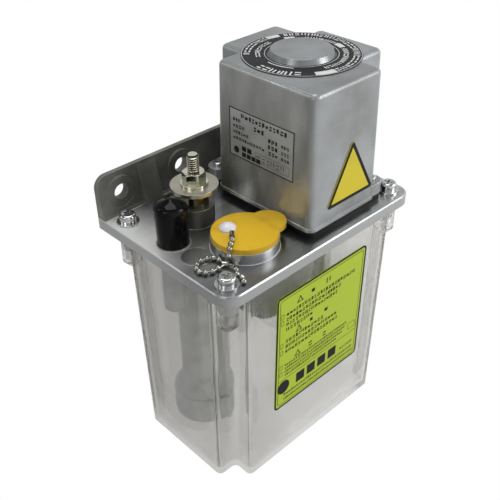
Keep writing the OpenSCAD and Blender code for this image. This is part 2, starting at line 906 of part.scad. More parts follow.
module cord_grommet() {
    face_y = py(cy1) - cover_draft * cord_z / cover_h + 0.2;
    color([0.08, 0.08, 0.08])
        difference() {
            union() {
                y_cylinder(px(motor_x), top + cord_z, face_y, face_y + 1.8, grommet_d / 2);
                y_cylinder(px(motor_x), top + cord_z, face_y - cover_wall - 3, face_y + 1, grommet_d / 2 - 2 - seat);
            }
            y_cylinder(px(motor_x), top + cord_z, face_y - cover_wall - 5, face_y + 3, cord_d / 2);
        }
}

module cover_screws() {
    color([0.75, 0.75, 0.73])
        for (e = ears)
            translate([px(e[0]), py(e[1]), cover_z + ear_h])
                difference() {
                    union() {
                        pan_head(cover_head_d, cover_head_h);
                        translate([0, 0, -ear_h - gasket_t - 4])
                            cylinder(h = ear_h + gasket_t + 4.1, r = cover_screw_d / 2 - seat);
                    }
                    cross_recess(cover_head_h, recess_w * 0.7, cover_head_d * 0.27, cover_head_h * 0.5);
                }
}

module ring_label() {
    color([0.1, 0.1, 0.11])
        translate([px(motor_x), py(motor_y), cover_top])
            ring(ring_t, ring_d / 2, disc_d / 2 + ring_gap);
}

module data_plate() {
    face = cover_draft * (data_z - gasket_t) / cover_h;
    color([0.72, 0.72, 0.7])
        translate([px(cover_left) + face, py(data_front), top + data_z])
            rotate([0, lean, 0])
                translate([-plate_label_t, 0, 0])
                    cube([plate_label_t, data_w, data_h]);
}

module triangle_plate() {
    face = cover_draft * (tri_z - gasket_t) / cover_h;
    color([0.95, 0.75, 0.05])
        translate([px(tri_left), py(cover_front) + face, top + tri_z])
            rotate([-lean, 0, 0])
                rotate([90, 0, 0])
                    linear_extrude(height = plate_label_t)
                        polygon([[0, 0], [tri_w, 0], [tri_w / 2, tri_h]]);
}

module reservoir_label() {
    high = plate_t;
    face = tank_draft * (label_drop - high) / tank_h;
    color([0.7, 0.78, 0.2])
        translate([px(label_left) + label_w / 2, -hy + rim_in + face, top - label_drop])
            rotate([90 + tank_lean, 0, 0])
                linear_extrude(height = label_t)
                    translate([0, -label_h / 2])
                        rounded_rect(label_w / 2, label_h / 2, label_r);
}

module gear_motor() {
    color([0.45, 0.45, 0.47])
        difference() {
            union() {
                translate([px(motor_x), py(motor_y), motor_z])
                    cylinder(h = motor_h, r = motor_d / 2);
                translate([px(motor_x), py(motor_y), motor_z])
                    cylinder(h = 12, r = motor_d / 2 + motor_foot);
            }
            translate([px(worm_x), py(wheel_y), motor_z - 1])
                cylinder(h = 11, r = worm_shaft_d / 2 + run_gap);
        }
}

module worm_shaft() {
    low = wheel_z - worm_l / 2 - worm_tail;
    color([0.6, 0.6, 0.6])
        translate([px(worm_x), py(wheel_y), 0]) {
            translate([0, 0, wheel_z])
                cylinder(h = top + 9 - wheel_z, r = worm_shaft_d / 2);
            translate([0, 0, low])
                cylinder(h = worm_l + worm_tail, r = worm_d / 2);
        }
}

module worm_housing() {
    low = wheel_z + worm_l / 2 + housing_gap;
    color([0.6, 0.58, 0.62])
        translate([px(worm_x), py(wheel_y), 0])
            difference() {
                union() {
                    translate([0, 0, low])
                        cylinder(h = tank_h - low, r = housing_r);
                    translate([0, 0, tank_h - housing_rim_t])
                        cylinder(h = housing_rim_t, r = housing_r + housing_rim);
                }
                translate([0, 0, low - 1])
                    cylinder(h = tank_h - low + 2, r = worm_shaft_d / 2 + run_gap);
            }
}

module wheel_teeth_outline() {
    step = 360 / wheel_teeth;
    polygon([for (i = [0 : wheel_teeth - 1], k = [0 : 3])
        let (r = k < 1 || k > 2 ? root_r : wheel_od / 2,
             a = step * (i + [-0.34, -0.12, 0.12, 0.34][k]))
        [r * cos(a), r * sin(a)]]);
}

module worm_wheel() {
    color([0.45, 0.45, 0.46])
        translate([px(wheel_x), 0, wheel_z])
            difference() {
                union() {
                    along_y(py(wheel_y) + wheel_w / 2, wheel_w)
                        wheel_teeth_outline();
                    y_cylinder(0, 0, py(wheel_y) - wheel_w / 2 - 2, py(cheek_y[0]) - 0.5, hub_d / 2);
                }
                y_cylinder(0, 0, py(wheel_y) - wheel_w / 2 - 3, py(cheek_y[0]), shaft_d / 2 + seat);
            }
}

module wheel_shaft() {
    color([0.7, 0.7, 0.7])
        y_cylinder(px(wheel_x), wheel_z, py(shaft_front), py(shaft_back), shaft_d / 2);
}

// Cam with a round low flank and a full lift over the quarter turn before its drop.
module lift_cam() {
    color([0.5, 0.5, 0.5])
        translate([px(wheel_x), py(pump_y), wheel_z])
            rotate([90, 0, 0])
                translate([0, 0, -cam_w / 2])
                    difference() {
                        union() {
                            cylinder(h = cam_w, r = cam_low);
                            intersection() {
                                cylinder(h = cam_w, r = cam_r);
                                translate([-cam_r, -cam_r, 0])
                                    cube([cam_r, cam_r, cam_w]);
                            }
                            translate([-cam_low, 0, 0])
                                cylinder(h = cam_w, r = cam_r - cam_low);
                        }
                        translate([0, 0, -1])
                            cylinder(h = cam_w + 2, r = shaft_d / 2 + seat);
                    }
}

module gear_frame() {
    x0 = px(wheel_x) - frame_over;
    x1 = px(pivot_x) + frame_past;
    low = wheel_z - 8;
    color([0.58, 0.58, 0.58])
        difference() {
            union() {
                for (y = cheek_y)
                    translate([x0, py(y), low])
                        cube([x1 - x0, cheek_t, tank_h - low]);
                translate([x0, py(cheek_y[0]), tank_h - frame_t])
                    cube([x1 - x0, 2 * (cheek_gap + cheek_t), frame_t]);
            }
            y_cylinder(px(wheel_x), wheel_z, py(cheek_y[0]) - 1, py(cheek_y[1]) + cheek_t + 1, shaft_d / 2 + run_gap);
            y_cylinder(px(pivot_x), pivot_z, py(cheek_y[0]) - 1, py(cheek_y[1]) + cheek_t + 1, pin_d / 2 + seat);
            for (x = [x0 + 4, x1 - 4])
                translate([x, py(pump_y), tank_h - frame_t - 1])
                    cylinder(h = frame_t + 2, r = cover_screw_d / 2 + 0.2);
        }
}

module frame_screws() {
    x0 = px(wheel_x) - frame_over;
    x1 = px(pivot_x) + frame_past;
    color([0.75, 0.75, 0.73])
        for (x = [x0 + 4, x1 - 4])
            translate([x, py(pump_y), tank_h - frame_t])
                mirror([0, 0, 1]) {
                    pan_head(cover_head_d, cover_head_h);
                    translate([0, 0, -frame_t])
                        cylinder(h = frame_t + 0.1, r = cover_screw_d / 2);
                }
}

module lever_pin() {
    color([0.7, 0.7, 0.7])
        y_cylinder(px(pivot_x), pivot_z, py(cheek_y[0]) - 1, py(cheek_y[1]) + cheek_t + 1, pin_d / 2);
}

module lift_lever() {
    slot = rod_d / 2 + 0.3;
    arm_w = 2 * (slot + fork_side);
    nose_r = 2.1;
    tip = px(pump_x) - 3.2;
    color([0.52, 0.52, 0.5])
        translate([0, py(pump_y), 0])
            difference() {
                union() {
                    translate([px(pump_x) + 12, -cam_w / 2, lever_under])
                        cube([lever_arm - 12, cam_w, fork_top - 1 - lever_under]);
                    translate([tip, -arm_w / 2, lever_under])
                        cube([px(pump_x) + 13 - tip, arm_w, fork_top - 1.6 - lever_under]);
                    y_cylinder(px(pump_x), fork_top - nose_r, -arm_w / 2, arm_w / 2, nose_r);
                    y_cylinder(px(pivot_x), pivot_z, -cheek_gap + 0.4, cheek_gap - 0.4, boss_r);
                }
                translate([tip - 1, -slot, lever_under - 1])
                    cube([px(pump_x) + slot - tip + 1, 2 * slot, lever_t + 3]);
                y_cylinder(px(pivot_x), pivot_z, -cheek_gap - 1, cheek_gap + 1, pin_d / 2 + run_gap);
            }
}

module guide_collar() {
    low = tank_h - 5;
    color([0.6, 0.61, 0.58])
        at_pump(0)
            difference() {
                union() {
                    translate([0, 0, top])
                        cylinder(h = collar_h, r = collar_d / 2);
                    translate([0, 0, low])
                        cylinder(h = top - low + 1, r = neck_d / 2);
                }
                translate([0, 0, low - 1])
                    cylinder(h = collar_top - low + 2, r = rod_d / 2 + run_gap);
                translate([0, 0, sleeve_bottom - stroke - 0.5])
                    cylinder(h = collar_h + stroke + 5, r = sleeve_d / 2 + run_gap);
            }
}

module lift_sleeve() {
    color([0.28, 0.27, 0.2])
        at_pump(sleeve_bottom)
            ring(sleeve_l, sleeve_d / 2, stud_d / 2 + seat);
}

module stop_washer() {
    color([0.72, 0.7, 0.62])
        at_pump(stop_z)
            ring(stop_t, stop_d / 2, stud_d / 2 + 0.1);
}

module stud_washer() {
    color([0.72, 0.73, 0.7])
        at_pump(stud_washer_z)
            ring(stud_washer_t, stud_washer_d / 2, stud_d / 2 + 0.1);
}

module stud_nut() {
    corner = nut_af / sqrt(3);
    color([0.7, 0.72, 0.66])
        at_pump(nut_z)
            difference() {
                intersection() {
                    rotate([0, 0, 12])
                        cylinder(h = nut_h, r = corner, $fn = 6);
                    rotate_extrude()
                        polygon([[0, 0], [corner - 0.8, 0], [corner + 0.2, 0.7], [corner + 0.2, nut_h - 0.7],
                                 [corner - 0.8, nut_h], [0, nut_h]]);
                }
                translate([0, 0, -1])
                    cylinder(h = nut_h + 2, r = stud_d / 2 + seat);
            }
}

module piston_rod() {
    chamfer = 1;
    color([0.68, 0.68, 0.66])
        at_pump(0) {
            translate([0, 0, sleeve_bottom])
                cylinder(h = stud_top - chamfer - sleeve_bottom, r = stud_d / 2);
            translate([0, 0, stud_top - chamfer])
                cylinder(h = chamfer, r1 = stud_d / 2, r2 = stud_d / 2 - chamfer);
            translate([0, 0, piston_z])
                cylinder(h = sleeve_bottom - piston_z, r = rod_d / 2);
            translate([0, 0, collar_under])
                cylinder(h = rod_collar_t, r = rod_collar_d / 2);
        }
}

module piston() {
    color([0.6, 0.6, 0.6])
        at_pump(piston_z)
            difference() {
                cylinder(h = piston_l, r = bore_r - run_gap);
                translate([0, 0, -1])
                    cylinder(h = piston_l + 2, r = rod_d / 2 + seat);
                for (z = [piston_l * 0.3, piston_l * 0.6])
                    translate([0, 0, z])
                        ring(1.4, bore_r + 1, bore_r - 0.8);
            }
}

// Coil of tilted half rings, each of which climbs half a pitch.
module coil(height, turns, coil_r, wire_r) {
    rise = (height - 2 * wire_r) / (2 * turns);
    tilt = asin(rise / (2 * coil_r));
    translate([0, 0, wire_r])
        for (i = [0 : 2 * turns - 1]) {
            side = i % 2 == 0 ? 1 : -1;
            translate([0, 0, (i + 0.5) * rise])
                rotate([0, side * tilt, 0])
                    rotate([0, 0, side > 0 ? 0 : 180])
                        rotate_extrude(angle = 180, $fn = 20)
                            translate([coil_r, 0])
                                circle(wire_r, $fn = 8);
            translate([side * coil_r * cos(tilt), 0, i * rise])
                sphere(wire_r, $fn = 8);
        }
}

module return_spring() {
    color([0.5, 0.5, 0.5])
        at_pump(spring_bottom + 0.3)
            coil(spring_top - spring_bottom - 0.6, spring_turns, (rod_d / 2 + bore_r) / 2, spring_wire / 2);
}

module pump_column() {
    window_w = rod_d + 8;
    color([0.66, 0.67, 0.67])
        at_pump(0)
            difference() {
                translate([0, 0, column_bottom])
                    cylinder(h = column_l, r = column_d / 2);
                translate([0, 0, web_z])
                    cylinder(h = tank_h - web_z + 1, r = bore_r);
                translate([0, 0, tank_h - 5 - seat])
                    cylinder(h = 6, r = neck_d / 2 + 0.05);
                translate([0, 0, column_bottom - 1])
                    cylinder(h = web_z - web_t - column_bottom + 1, r = bore_r);
                translate([0, 0, web_z - web_t - 1])
                    cylinder(h = web_t + 2, r = rod_d / 2 + run_gap + 0.3);
                translate([0, -window_w / 2, window_top - window_h])
                    cube([column_d, window_w, window_h]);
                rotate([0, 0, gallery_dir]) {
                    translate([gallery_off, 0, column_bottom + 2])
                        cylinder(h = column_l, r = gallery_d / 2);
                    translate([0, 0, column_bottom + 3.3])
                        rotate([0, 90, 0])
                            cylinder(h = gallery_off, r = gallery_d / 2);
                }
            }
}

module foot_valve() {
    seat_z = foot_z - foot_l + 4;
    color([0.75, 0.6, 0.3])
        at_pump(0)
            difference() {
                union() {
                    translate([0, 0, foot_z])
                        cylinder(h = column_bottom - foot_z + 1.8, r = bore_r - seat);
                    translate([0, 0, foot_z - foot_l])
                        cylinder(h = foot_l, r = bore_r + 1.5);
                }
                translate([0, 0, seat_z])
                    cylinder(h = foot_l + 8, r = ball_d / 2 + 0.6);
                translate([0, 0, foot_z - foot_l - 1])
                    cylinder(h = foot_l, r = outlet_bore / 2);
            }
}

module foot_ball() {
    color([0.75, 0.75, 0.75])
        at_pump(foot_z - foot_l + 4 + ball_lift + seat)
            sphere(ball_d / 2);
}

module suction_strainer() {
    color([0.6, 0.62, 0.63])
        at_pump(0)
            difference() {
                union() {
                    translate([0, 0, strainer_z])
                        cylinder(h = strainer_h, r = strainer_d / 2);
                    translate([0, 0, strainer_z + strainer_h])
                        cylinder(h = strainer_cone, r1 = strainer_d / 2 - 1.5, r2 = column_d / 2);
                }
                translate([0, 0, strainer_z + 1.2])
                    cylinder(h = strainer_h - 3, r = strainer_d / 2 - 1.5);
                translate([0, 0, strainer_z + strainer_h - 3])
                    cylinder(h = strainer_cone + 4, r = bore_r + 1.6);
                for (a = [0 : 45 : 315])
                    rotate([0, 0, a])
                        translate([strainer_d / 2 * 0.6, 0, strainer_z - 1])
                            cylinder(h = 4, r = 3);
                translate([0, 0, strainer_z - 1])
                    cylinder(h = 4, r = 5);
            }
}

module at_outlet(z) {
    translate([px(outlet_x), py(outlet_y), z])
        children();
}

// Outlet union with the discharge check valve in its spigot.
module outlet_fitting() {
    color([0.7, 0.7, 0.68])
        difference() {
            union() {
                at_outlet(top + 0.6)
                    cylinder(h = spigot_l, r = spigot_d / 2);
                at_outlet(top)
                    cylinder(h = 0.6, r = vinyl_d / 2 + 0.7);
                at_outlet(stem_z)
                    cylinder(h = top - stem_z + 0.5, r = stem_r);
            }
            at_outlet(stem_z - 1)
                cylinder(h = spigot_l + plate_t + 12, r = outlet_bore / 2);
            at_outlet(check_z)
                cylinder(h = spigot_l + 12, r = ball_d / 2 + 0.6);
            at_outlet(tank_h + plate_t / 2)
                rotate([0, 90, gallery_dir])
                    translate([0, 0, -stem_r - 1])
                        cylinder(h = stem_r + 1, r = gallery_d / 2);
        }
}

module outlet_ball() {
    color([0.75, 0.75, 0.75])
        at_outlet(check_z + ball_lift + seat)
            sphere(ball_d / 2);
}

module outlet_gasket() {
    color([0.75, 0.72, 0.4])
        at_outlet(tank_h - 1.5)
            ring(1.5, valve_d / 2, stem_r + 0.05);
}

// Relief valve: its ball closes the lower end of the outlet stem and lets oil back into the reservoir.
module relief_body() {
    high = tank_h - 1.5;
    color([0.62, 0.63, 0.62])
        difference() {
            at_outlet(high - valve_l)
                cylinder(h = valve_l, r = valve_d / 2);
            at_outlet(relief_floor)
                cylinder(h = valve_l, r = ball_d / 2 + 0.6);
            at_outlet(stem_z - seat)
                cylinder(h = 4, r = stem_r + 0.05);
            at_outlet(stem_z - ball_d / 2)
                rotate([0, 90, 200])
                    cylinder(h = valve_d, r = 1.2);
        }
}

module relief_ball() {
    color([0.75, 0.75, 0.75])
        at_outlet(stem_z - ball_lift - seat)
            sphere(ball_d / 2);
}

module relief_spring() {
    color([0.5, 0.5, 0.5])
        at_outlet(relief_floor + 0.1)
            coil(stem_z - ball_lift - ball_d / 2 - relief_floor - 0.3, 4, ball_d / 2 - 0.5, 0.5);
}

module outlet_cap() {
    low = top + 0.6;
    crown = top + 0.6 + vinyl_h;
    r = vinyl_top_d / 2;
    color([0.03, 0.03, 0.035])
        translate([px(outlet_x), py(outlet_y), low])
            difference() {
                union() {
                    cylinder(h = vinyl_h - vinyl_r, r1 = vinyl_d / 2, r2 = r);
                    translate([0, 0, vinyl_h - vinyl_r])
                        rotate_extrude()
                            intersection() {
                                union() {
                                    translate([r - vinyl_r, 0])
                                        circle(vinyl_r);
                                    square([r - vinyl_r, vinyl_r]);
                                }
                                square([r, vinyl_r]);
                            }
                    translate([0, 0, vinyl_h - 0.3])
                        cylinder(h = 1.4, r1 = r - vinyl_r, r2 = 2.2);
                }
                translate([0, 0, -1])
                    cylinder(h = spigot_l + 2, r = spigot_d / 2 + 0.1);
            }
}

module blank_plug() {
    color([0.6, 0.61, 0.61])
        translate([px(plug_x), py(plug_y), tank_h + 2 + seat])
            cylinder(h = plate_t - 2 - seat, r = plug_d / 2);
}

module filler_neck() {
    color([0.66, 0.67, 0.68])
        translate([px(filler_x), py(filler_y), 0])
            difference() {
                union() {
                    translate([0, 0, top])
                        cylinder(h = filler_h, r = filler_d / 2);
                    translate([0, 0, tank_h - 1])
                        cylinder(h = plate_t + 2, r = filler_bore / 2 + 1.45);
                }
                translate([0, 0, tank_h - 2])
                    cylinder(h = plate_t + filler_h + 4, r = filler_bore / 2);
            }
}

module filler_strainer() {
    r = filler_bore / 2 - 0.1;
    color([0.85, 0.85, 0.82])
        translate([px(filler_x), py(filler_y), tank_h - 1])
            difference() {
                cylinder(h = plate_t - 1, r = r);
                translate([0, 0, 0.8])
                    cylinder(h = plate_t, r = r - 1);
                for (i = [-4 : 4], k = [-4 : 4])
                    if (i * i + k * k < 18)
                        translate([i * 3 - 1, k * 3 - 1, -1])
                            cube([2, 2, 3]);
            }
}

module filler_cap() {
    low = top + filler_h;
    x = px(filler_x);
    y = py(filler_y);
    flank = 4;
    color([0.95, 0.68, 0.05])
        union() {
            translate([x, y, low])
                linear_extrude(height = cap_t)
                    union() {
                        circle(cap_d / 2);
                        translate([lobe_off, -1.2])
                            circle(lobe_r);
                        // Flanks that carry the lobe into the disc.
                        translate([lobe_off - 10, -lobe_r - 1.2 + 0.4])
                            square([10, 2 * lobe_r - 0.8]);
                    }
            translate([x, y, low - skirt_h])
                ring(skirt_h + 0.1, filler_bore / 2 - 0.15, filler_bore / 2 - 1.6);
        }
}

module cap_pin() {
    color([0.92, 0.92, 0.94])
        translate([px(filler_x) - 4.8, py(filler_y) + 7.9, top + filler_h + cap_t]) {
            cylinder(h = 0.8, r = pin_head_d / 2);
            translate([0, 0, 0.8])
                intersection() {
                    cylinder(h = 3, r = pin_head_d / 2);
                    translate([0, 0, -3.2])
                        sphere(5.5);
                }
        }
}

// Straight wire between two points.
module wire(a, b, r) {
    d = b - a;
    len = norm(d);
    translate(a)
        rotate([0, acos(d[2] / len), atan2(d[1], d[0])])
            cylinder(h = len, r = r, $fn = 16);
}

module beads(path) {
    for (i = [0 : len(path) - 1])
        translate(path[i])
            sphere(bead_d / 2, $fn = 20);
    for (i = [1 : len(path) - 1])
        wire(path[i - 1], path[i], wire_d / 2);
}

// Crimped coupling lying along the plate at an angle.
module coupling(at, angle) {
    translate(at)
        rotate([0, 90, angle])
            translate([0, 0, -coupling_l / 2])
                cylinder(h = coupling_l, r = coupling_d / 2, $fn = 24);
}

module cap_chain() {
    color([0.75, 0.75, 0.76]) {
        beads(lead_path);
        wire(crimp_at, lead_path[0], wire_d / 2);
        coupling(crimp_at, 48);
    }
}

module bead_chain() {
    color([0.75, 0.75, 0.76]) {
        beads(loop_path);
        beads(tail_path);
        wire(loop_path[0], joint_a, wire_d / 2);
        wire(loop_path[loop_beads - 1], joint_a, wire_d / 2);
        wire(joint_a, joint_b, wire_d / 2);
        wire(joint_b, tail_path[0], wire_d / 2);
        coupling(joint_a, 128);
        coupling(joint_b, 50);
    }
}

mounting_bracket();
tank_seal();
reservoir_tank();
tank_inserts();
tank_flat_washers();
tank_spring_washers();
tank_screws();
cover_gasket();
motor_cover();
cover_screws();
cord_grommet();
ring_label();
data_plate();
triangle_plate();
reservoir_label();
gear_motor();
worm_shaft();
worm_housing();
worm_wheel();
wheel_shaft();
lift_cam();
gear_frame();
frame_screws();
lift_lever();
lever_pin();
guide_collar();
lift_sleeve();
stop_washer();
stud_washer();
stud_nut();
piston_rod();
piston();
return_spring();
pump_column();
foot_valve();
foot_ball();
suction_strainer();
outlet_fitting();
outlet_ball();
outlet_gasket();
relief_body();
relief_ball();
relief_spring();
outlet_cap();
blank_plug();
filler_neck();
filler_strainer();
filler_cap();
cap_pin();
cap_chain();
bead_chain();
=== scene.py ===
"""Dressed scene of a wall-mounted oil pump: finishes for the CAD nodes, labels, a thread and a studio."""

import logging
import math
import random
from dataclasses import dataclass, field
from enum import Enum
from functools import cache, reduce
from typing import Callable, Optional, Sequence, Union

import bmesh
import bpy
from mathutils import Matrix, Vector


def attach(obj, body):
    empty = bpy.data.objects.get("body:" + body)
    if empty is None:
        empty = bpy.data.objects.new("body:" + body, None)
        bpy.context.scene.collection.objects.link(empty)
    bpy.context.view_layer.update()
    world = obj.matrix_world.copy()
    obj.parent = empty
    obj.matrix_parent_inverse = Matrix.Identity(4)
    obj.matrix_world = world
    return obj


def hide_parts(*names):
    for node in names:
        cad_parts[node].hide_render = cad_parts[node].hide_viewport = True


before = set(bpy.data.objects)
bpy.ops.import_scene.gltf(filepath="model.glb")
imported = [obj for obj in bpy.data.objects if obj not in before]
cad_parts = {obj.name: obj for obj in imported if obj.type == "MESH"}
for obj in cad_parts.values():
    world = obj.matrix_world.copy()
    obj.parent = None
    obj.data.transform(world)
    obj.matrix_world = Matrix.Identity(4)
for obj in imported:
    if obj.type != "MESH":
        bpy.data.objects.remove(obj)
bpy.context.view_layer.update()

log = logging.getLogger("oil_pump")
logging.basicConfig(level=logging.INFO, format="%(message)s")

Span = tuple[float, float]
Triple = tuple[float, float, float]
Colour = Triple
Node = bpy.types.Node
Socket = bpy.types.NodeSocket
Input = Union[float, Colour, Socket]
Material = bpy.types.Material
Piece = bpy.types.Object
Shape = bmesh.types.BMesh

# Sizes are in millimetres, with places from the plate's left and front edges. BASE_SHARE is how far a
# triangle's middle is from its base, as a share of a side.
MM = 0.001
PLATE_W = 145.0
PLATE_D = 104.5
PLATE_TOP = 144.0
STUD: Span = (37.4, 65.4)
OUTLET: Span = (14.1, 56.8)
FILLER: Span = (39.1, 28.8)
PRINT_RISE = 0.05
ROUND_STEPS = 28
RING_STEPS = 72
CORNER_STEPS = 6
BASE_SHARE = 0.289
EVEN: Triple = (1.0, 1.0, 1.0)
RISE: Span = (0.0, 1.0)
FALL: Span = (1.0, 0.0)


def spot(x: float, y: float, z: float) -> Vector:
    """A point in metres, from plate distances and a height over the plate top, in millimetres."""
    return Vector((x - PLATE_W / 2, y - PLATE_D / 2, z + PLATE_TOP)) * MM


class Body(Enum):
    """The rigid bodies that added pieces ride on."""

    PUMP = "pump_body"
    ROD = "rod"
    VINYL = "vinyl"


class Mark(Enum):
    """The plain shapes that rows of print are made of."""

    BARS = "bars"
    POSTS = "posts"
    BLOCK = "block"


class Nodes:
    """Adds nodes to a tree and links them."""

    def __init__(self, tree: bpy.types.NodeTree) -> None:
        """Starts on the tree of a material or a world."""
        self.tree = tree

    def add(self, kind: str, **settings: object) -> Node:
        """Adds a shader node.

        Args:
            kind: End of its type's name, after ShaderNode.
            settings: Its properties.

        Returns:
            The node.
        """
        node = self.tree.nodes.new("ShaderNode" + kind)
        for name, value in settings.items():
            setattr(node, name, value)
        return node

    def feed(self, node: Node, *values: Input, **inputs: Input) -> Node:
        """Sets inputs of a node, each by a number, a colour or a socket.

        Args:
            node: The node.
            values: Its first inputs, in order.
            inputs: Inputs by name, with underscores for spaces.

        Returns:
            The node.
        """
        named = ((node.inputs[name.replace("_", " ")], value) for name, value in inputs.items())
        for socket, value in (*zip(node.inputs, values), *named):
            if isinstance(value, Socket):
                self.tree.links.new(value, socket)
            elif isinstance(value, tuple) and socket.type == "RGBA":
                socket.default_value = (*value, 1.0)
            else:
                socket.default_value = value
        return node

    def ramp(self, value: Socket, span: Span = RISE, to: Span = RISE) -> Socket:
        """Maps a value from one span to another, held at its ends."""
        return self.feed(self.add("MapRange"), value, *span, *to).outputs["Result"]

    def mix(self, factor: Socket, low: Input, high: Input, kind: str = "RGBA") -> Socket:
        """Mixes two colours, or two numbers with the kind FLOAT."""
        return self.feed(self.add("Mix", data_type=kind), Factor=factor, A=low, B=high).outputs["Result"]

    def times(self, first: Socket, second: Socket) -> Socket:
        """Multiplies two numbers."""
        return self.feed(self.add("Math", operation="MULTIPLY"), first, second).outputs[0]

    def most(self, first: Socket, second: Socket) -> Socket:
        """The greater of two numbers."""
        return self.feed(self.add("Math", operation="MAXIMUM"), first, second).outputs[0]

    def dot(self, first: Socket, second: Input) -> Socket:
        """The dot product of two vectors."""
        return self.feed(self.add("VectorMath", operation="DOT_PRODUCT"), first, second).outputs["Value"]

    def rays(self, *names: str) -> Socket:
        """A mask of the rays of some kinds, such as Camera or Shadow."""
        return reduce(self.most, (self.add("LightPath").outputs[f"Is {name} Ray"] for name in names))

    def seen_rays(self) -> Socket:
        """A mask of the rays that carry what the camera sees."""
        return self.rays("Camera", "Glossy", "Transmission")

    def layer(self, share: Input, low: Node, high: Node) -> Node:
        """Mixes two shader nodes by a number or a socket."""
        return self.feed(self.add("MixShader"), share, low.outputs[0], high.outputs[0])


@dataclass(frozen=True)
class Pattern:
    """Noise that goes from 0 to 1 between two of its levels."""

    scale: float
    span: Span = RISE
    detail: float = 4.0
    stretch: Triple = EVEN


class Brush(Nodes):
    """Makes the node chains that the finishes share, all on Object coordinates."""

    rub_span: Span = (0.99, 0.88)
    bump_height: float = 0.3
    bump_detail: float = 3.0

    def __init__(self, name: str) -> None:
        """Starts a material.

        Args:
            name: Name of the material.
        """
        self.material = bpy.data.materials.new(name)
        self.material.use_nodes = True
        super().__init__(self.material.node_tree)
        self.shader = self.tree.nodes["Principled BSDF"]
        self.place = self.add("TexCoord").outputs["Object"]

    def noise(self, look: Pattern) -> Socket:
        """Makes the noise of a pattern.

        Args:
            look: The pattern.

        Returns:
            The noise, before its levels are spread.
        """
        squeeze = self.feed(self.add("VectorMath", operation="MULTIPLY"), self.place, look.stretch)
        place = squeeze.outputs["Vector"]
        noise = self.feed(self.add("TexNoise"), Vector=place, Scale=look.scale, Detail=look.detail)
        return noise.outputs["Fac"]

    def pattern(self, look: Pattern) -> Socket:
        """The mask of a pattern, from 0 to 1."""
        return self.ramp(self.noise(look), look.span)

    def along(self, axis: str, span: Span, to: Span = RISE) -> Socket:
        """Maps one axis of the Object coordinates from a span in millimetres, held at its ends."""
        place = self.feed(self.add("SeparateXYZ"), self.place).outputs[axis]
        return self.ramp(place, (span[0] * MM, span[1] * MM), to)

    def soft_edges(self, radius: float) -> Socket:
        """Normals rounded over edges, with a radius in millimetres."""
        return self.feed(self.add("Bevel", samples=4), Radius=radius * MM).outputs["Normal"]

    def worn(self, normal: Socket) -> Socket:
        """A mask that is 1 on rubbed edges, from the rounded normals."""
        return self.ramp(self.dot(normal, self.add("NewGeometry").outputs["Normal"]), self.rub_span)

    def grain(self, strength: float, scale: float, normal: Socket) -> Socket:
        """Fine bumps over the given normals."""
        bump = self.feed(self.add("Bump"), Strength=strength, Distance=self.bump_height * MM, Normal=normal)
        return self.feed(bump, Height=self.noise(Pattern(scale, detail=self.bump_detail))).outputs["Normal"]

    def use(self, **inputs: Input) -> None:
        """Sets inputs of the main shader."""
        self.feed(self.shader, **inputs)

    def cover(self, shader: Node) -> None:
        """Makes a shader node the surface of the material."""
        self.feed(self.tree.nodes["Material Output"], Surface=shader.outputs[0])


@dataclass(frozen=True)
class Finish:
    """A procedural surface finish of two mottled colours. The radius of its soft edges is in millimetres."""

    name: str
    colour: Colour
    second: Colour
    rough: float = 0.5
    metal: float = 0.0
    scale: float = 60.0
    mottle: Span = (0.4, 0.65)
    detail: float = 5.0
    stretch: Triple = EVEN
    edge: float = 0.0
    rubbed: Optional[Colour] = None
    grain: Optional[Span] = None
    specular: float = 0.5

    def build(self) -> Material:
        """Makes the material.

        Returns:
            The node material, with the finish's name.
        """
        brush = Brush(self.name)
        mottle = brush.pattern(Pattern(self.scale, self.mottle, self.detail, self.stretch))
        colour = brush.mix(mottle, self.colour, self.second)
        if self.edge:
            normal = brush.soft_edges(self.edge)
            if self.rubbed:
                colour = brush.mix(brush.worn(normal), colour, self.rubbed)
            brush.use(Normal=brush.grain(*self.grain, normal) if self.grain else normal)
        brush.use(Base_Color=colour, Metallic=self.metal, Roughness=self.rough,
                  Specular_IOR_Level=self.specular)
        return brush.material


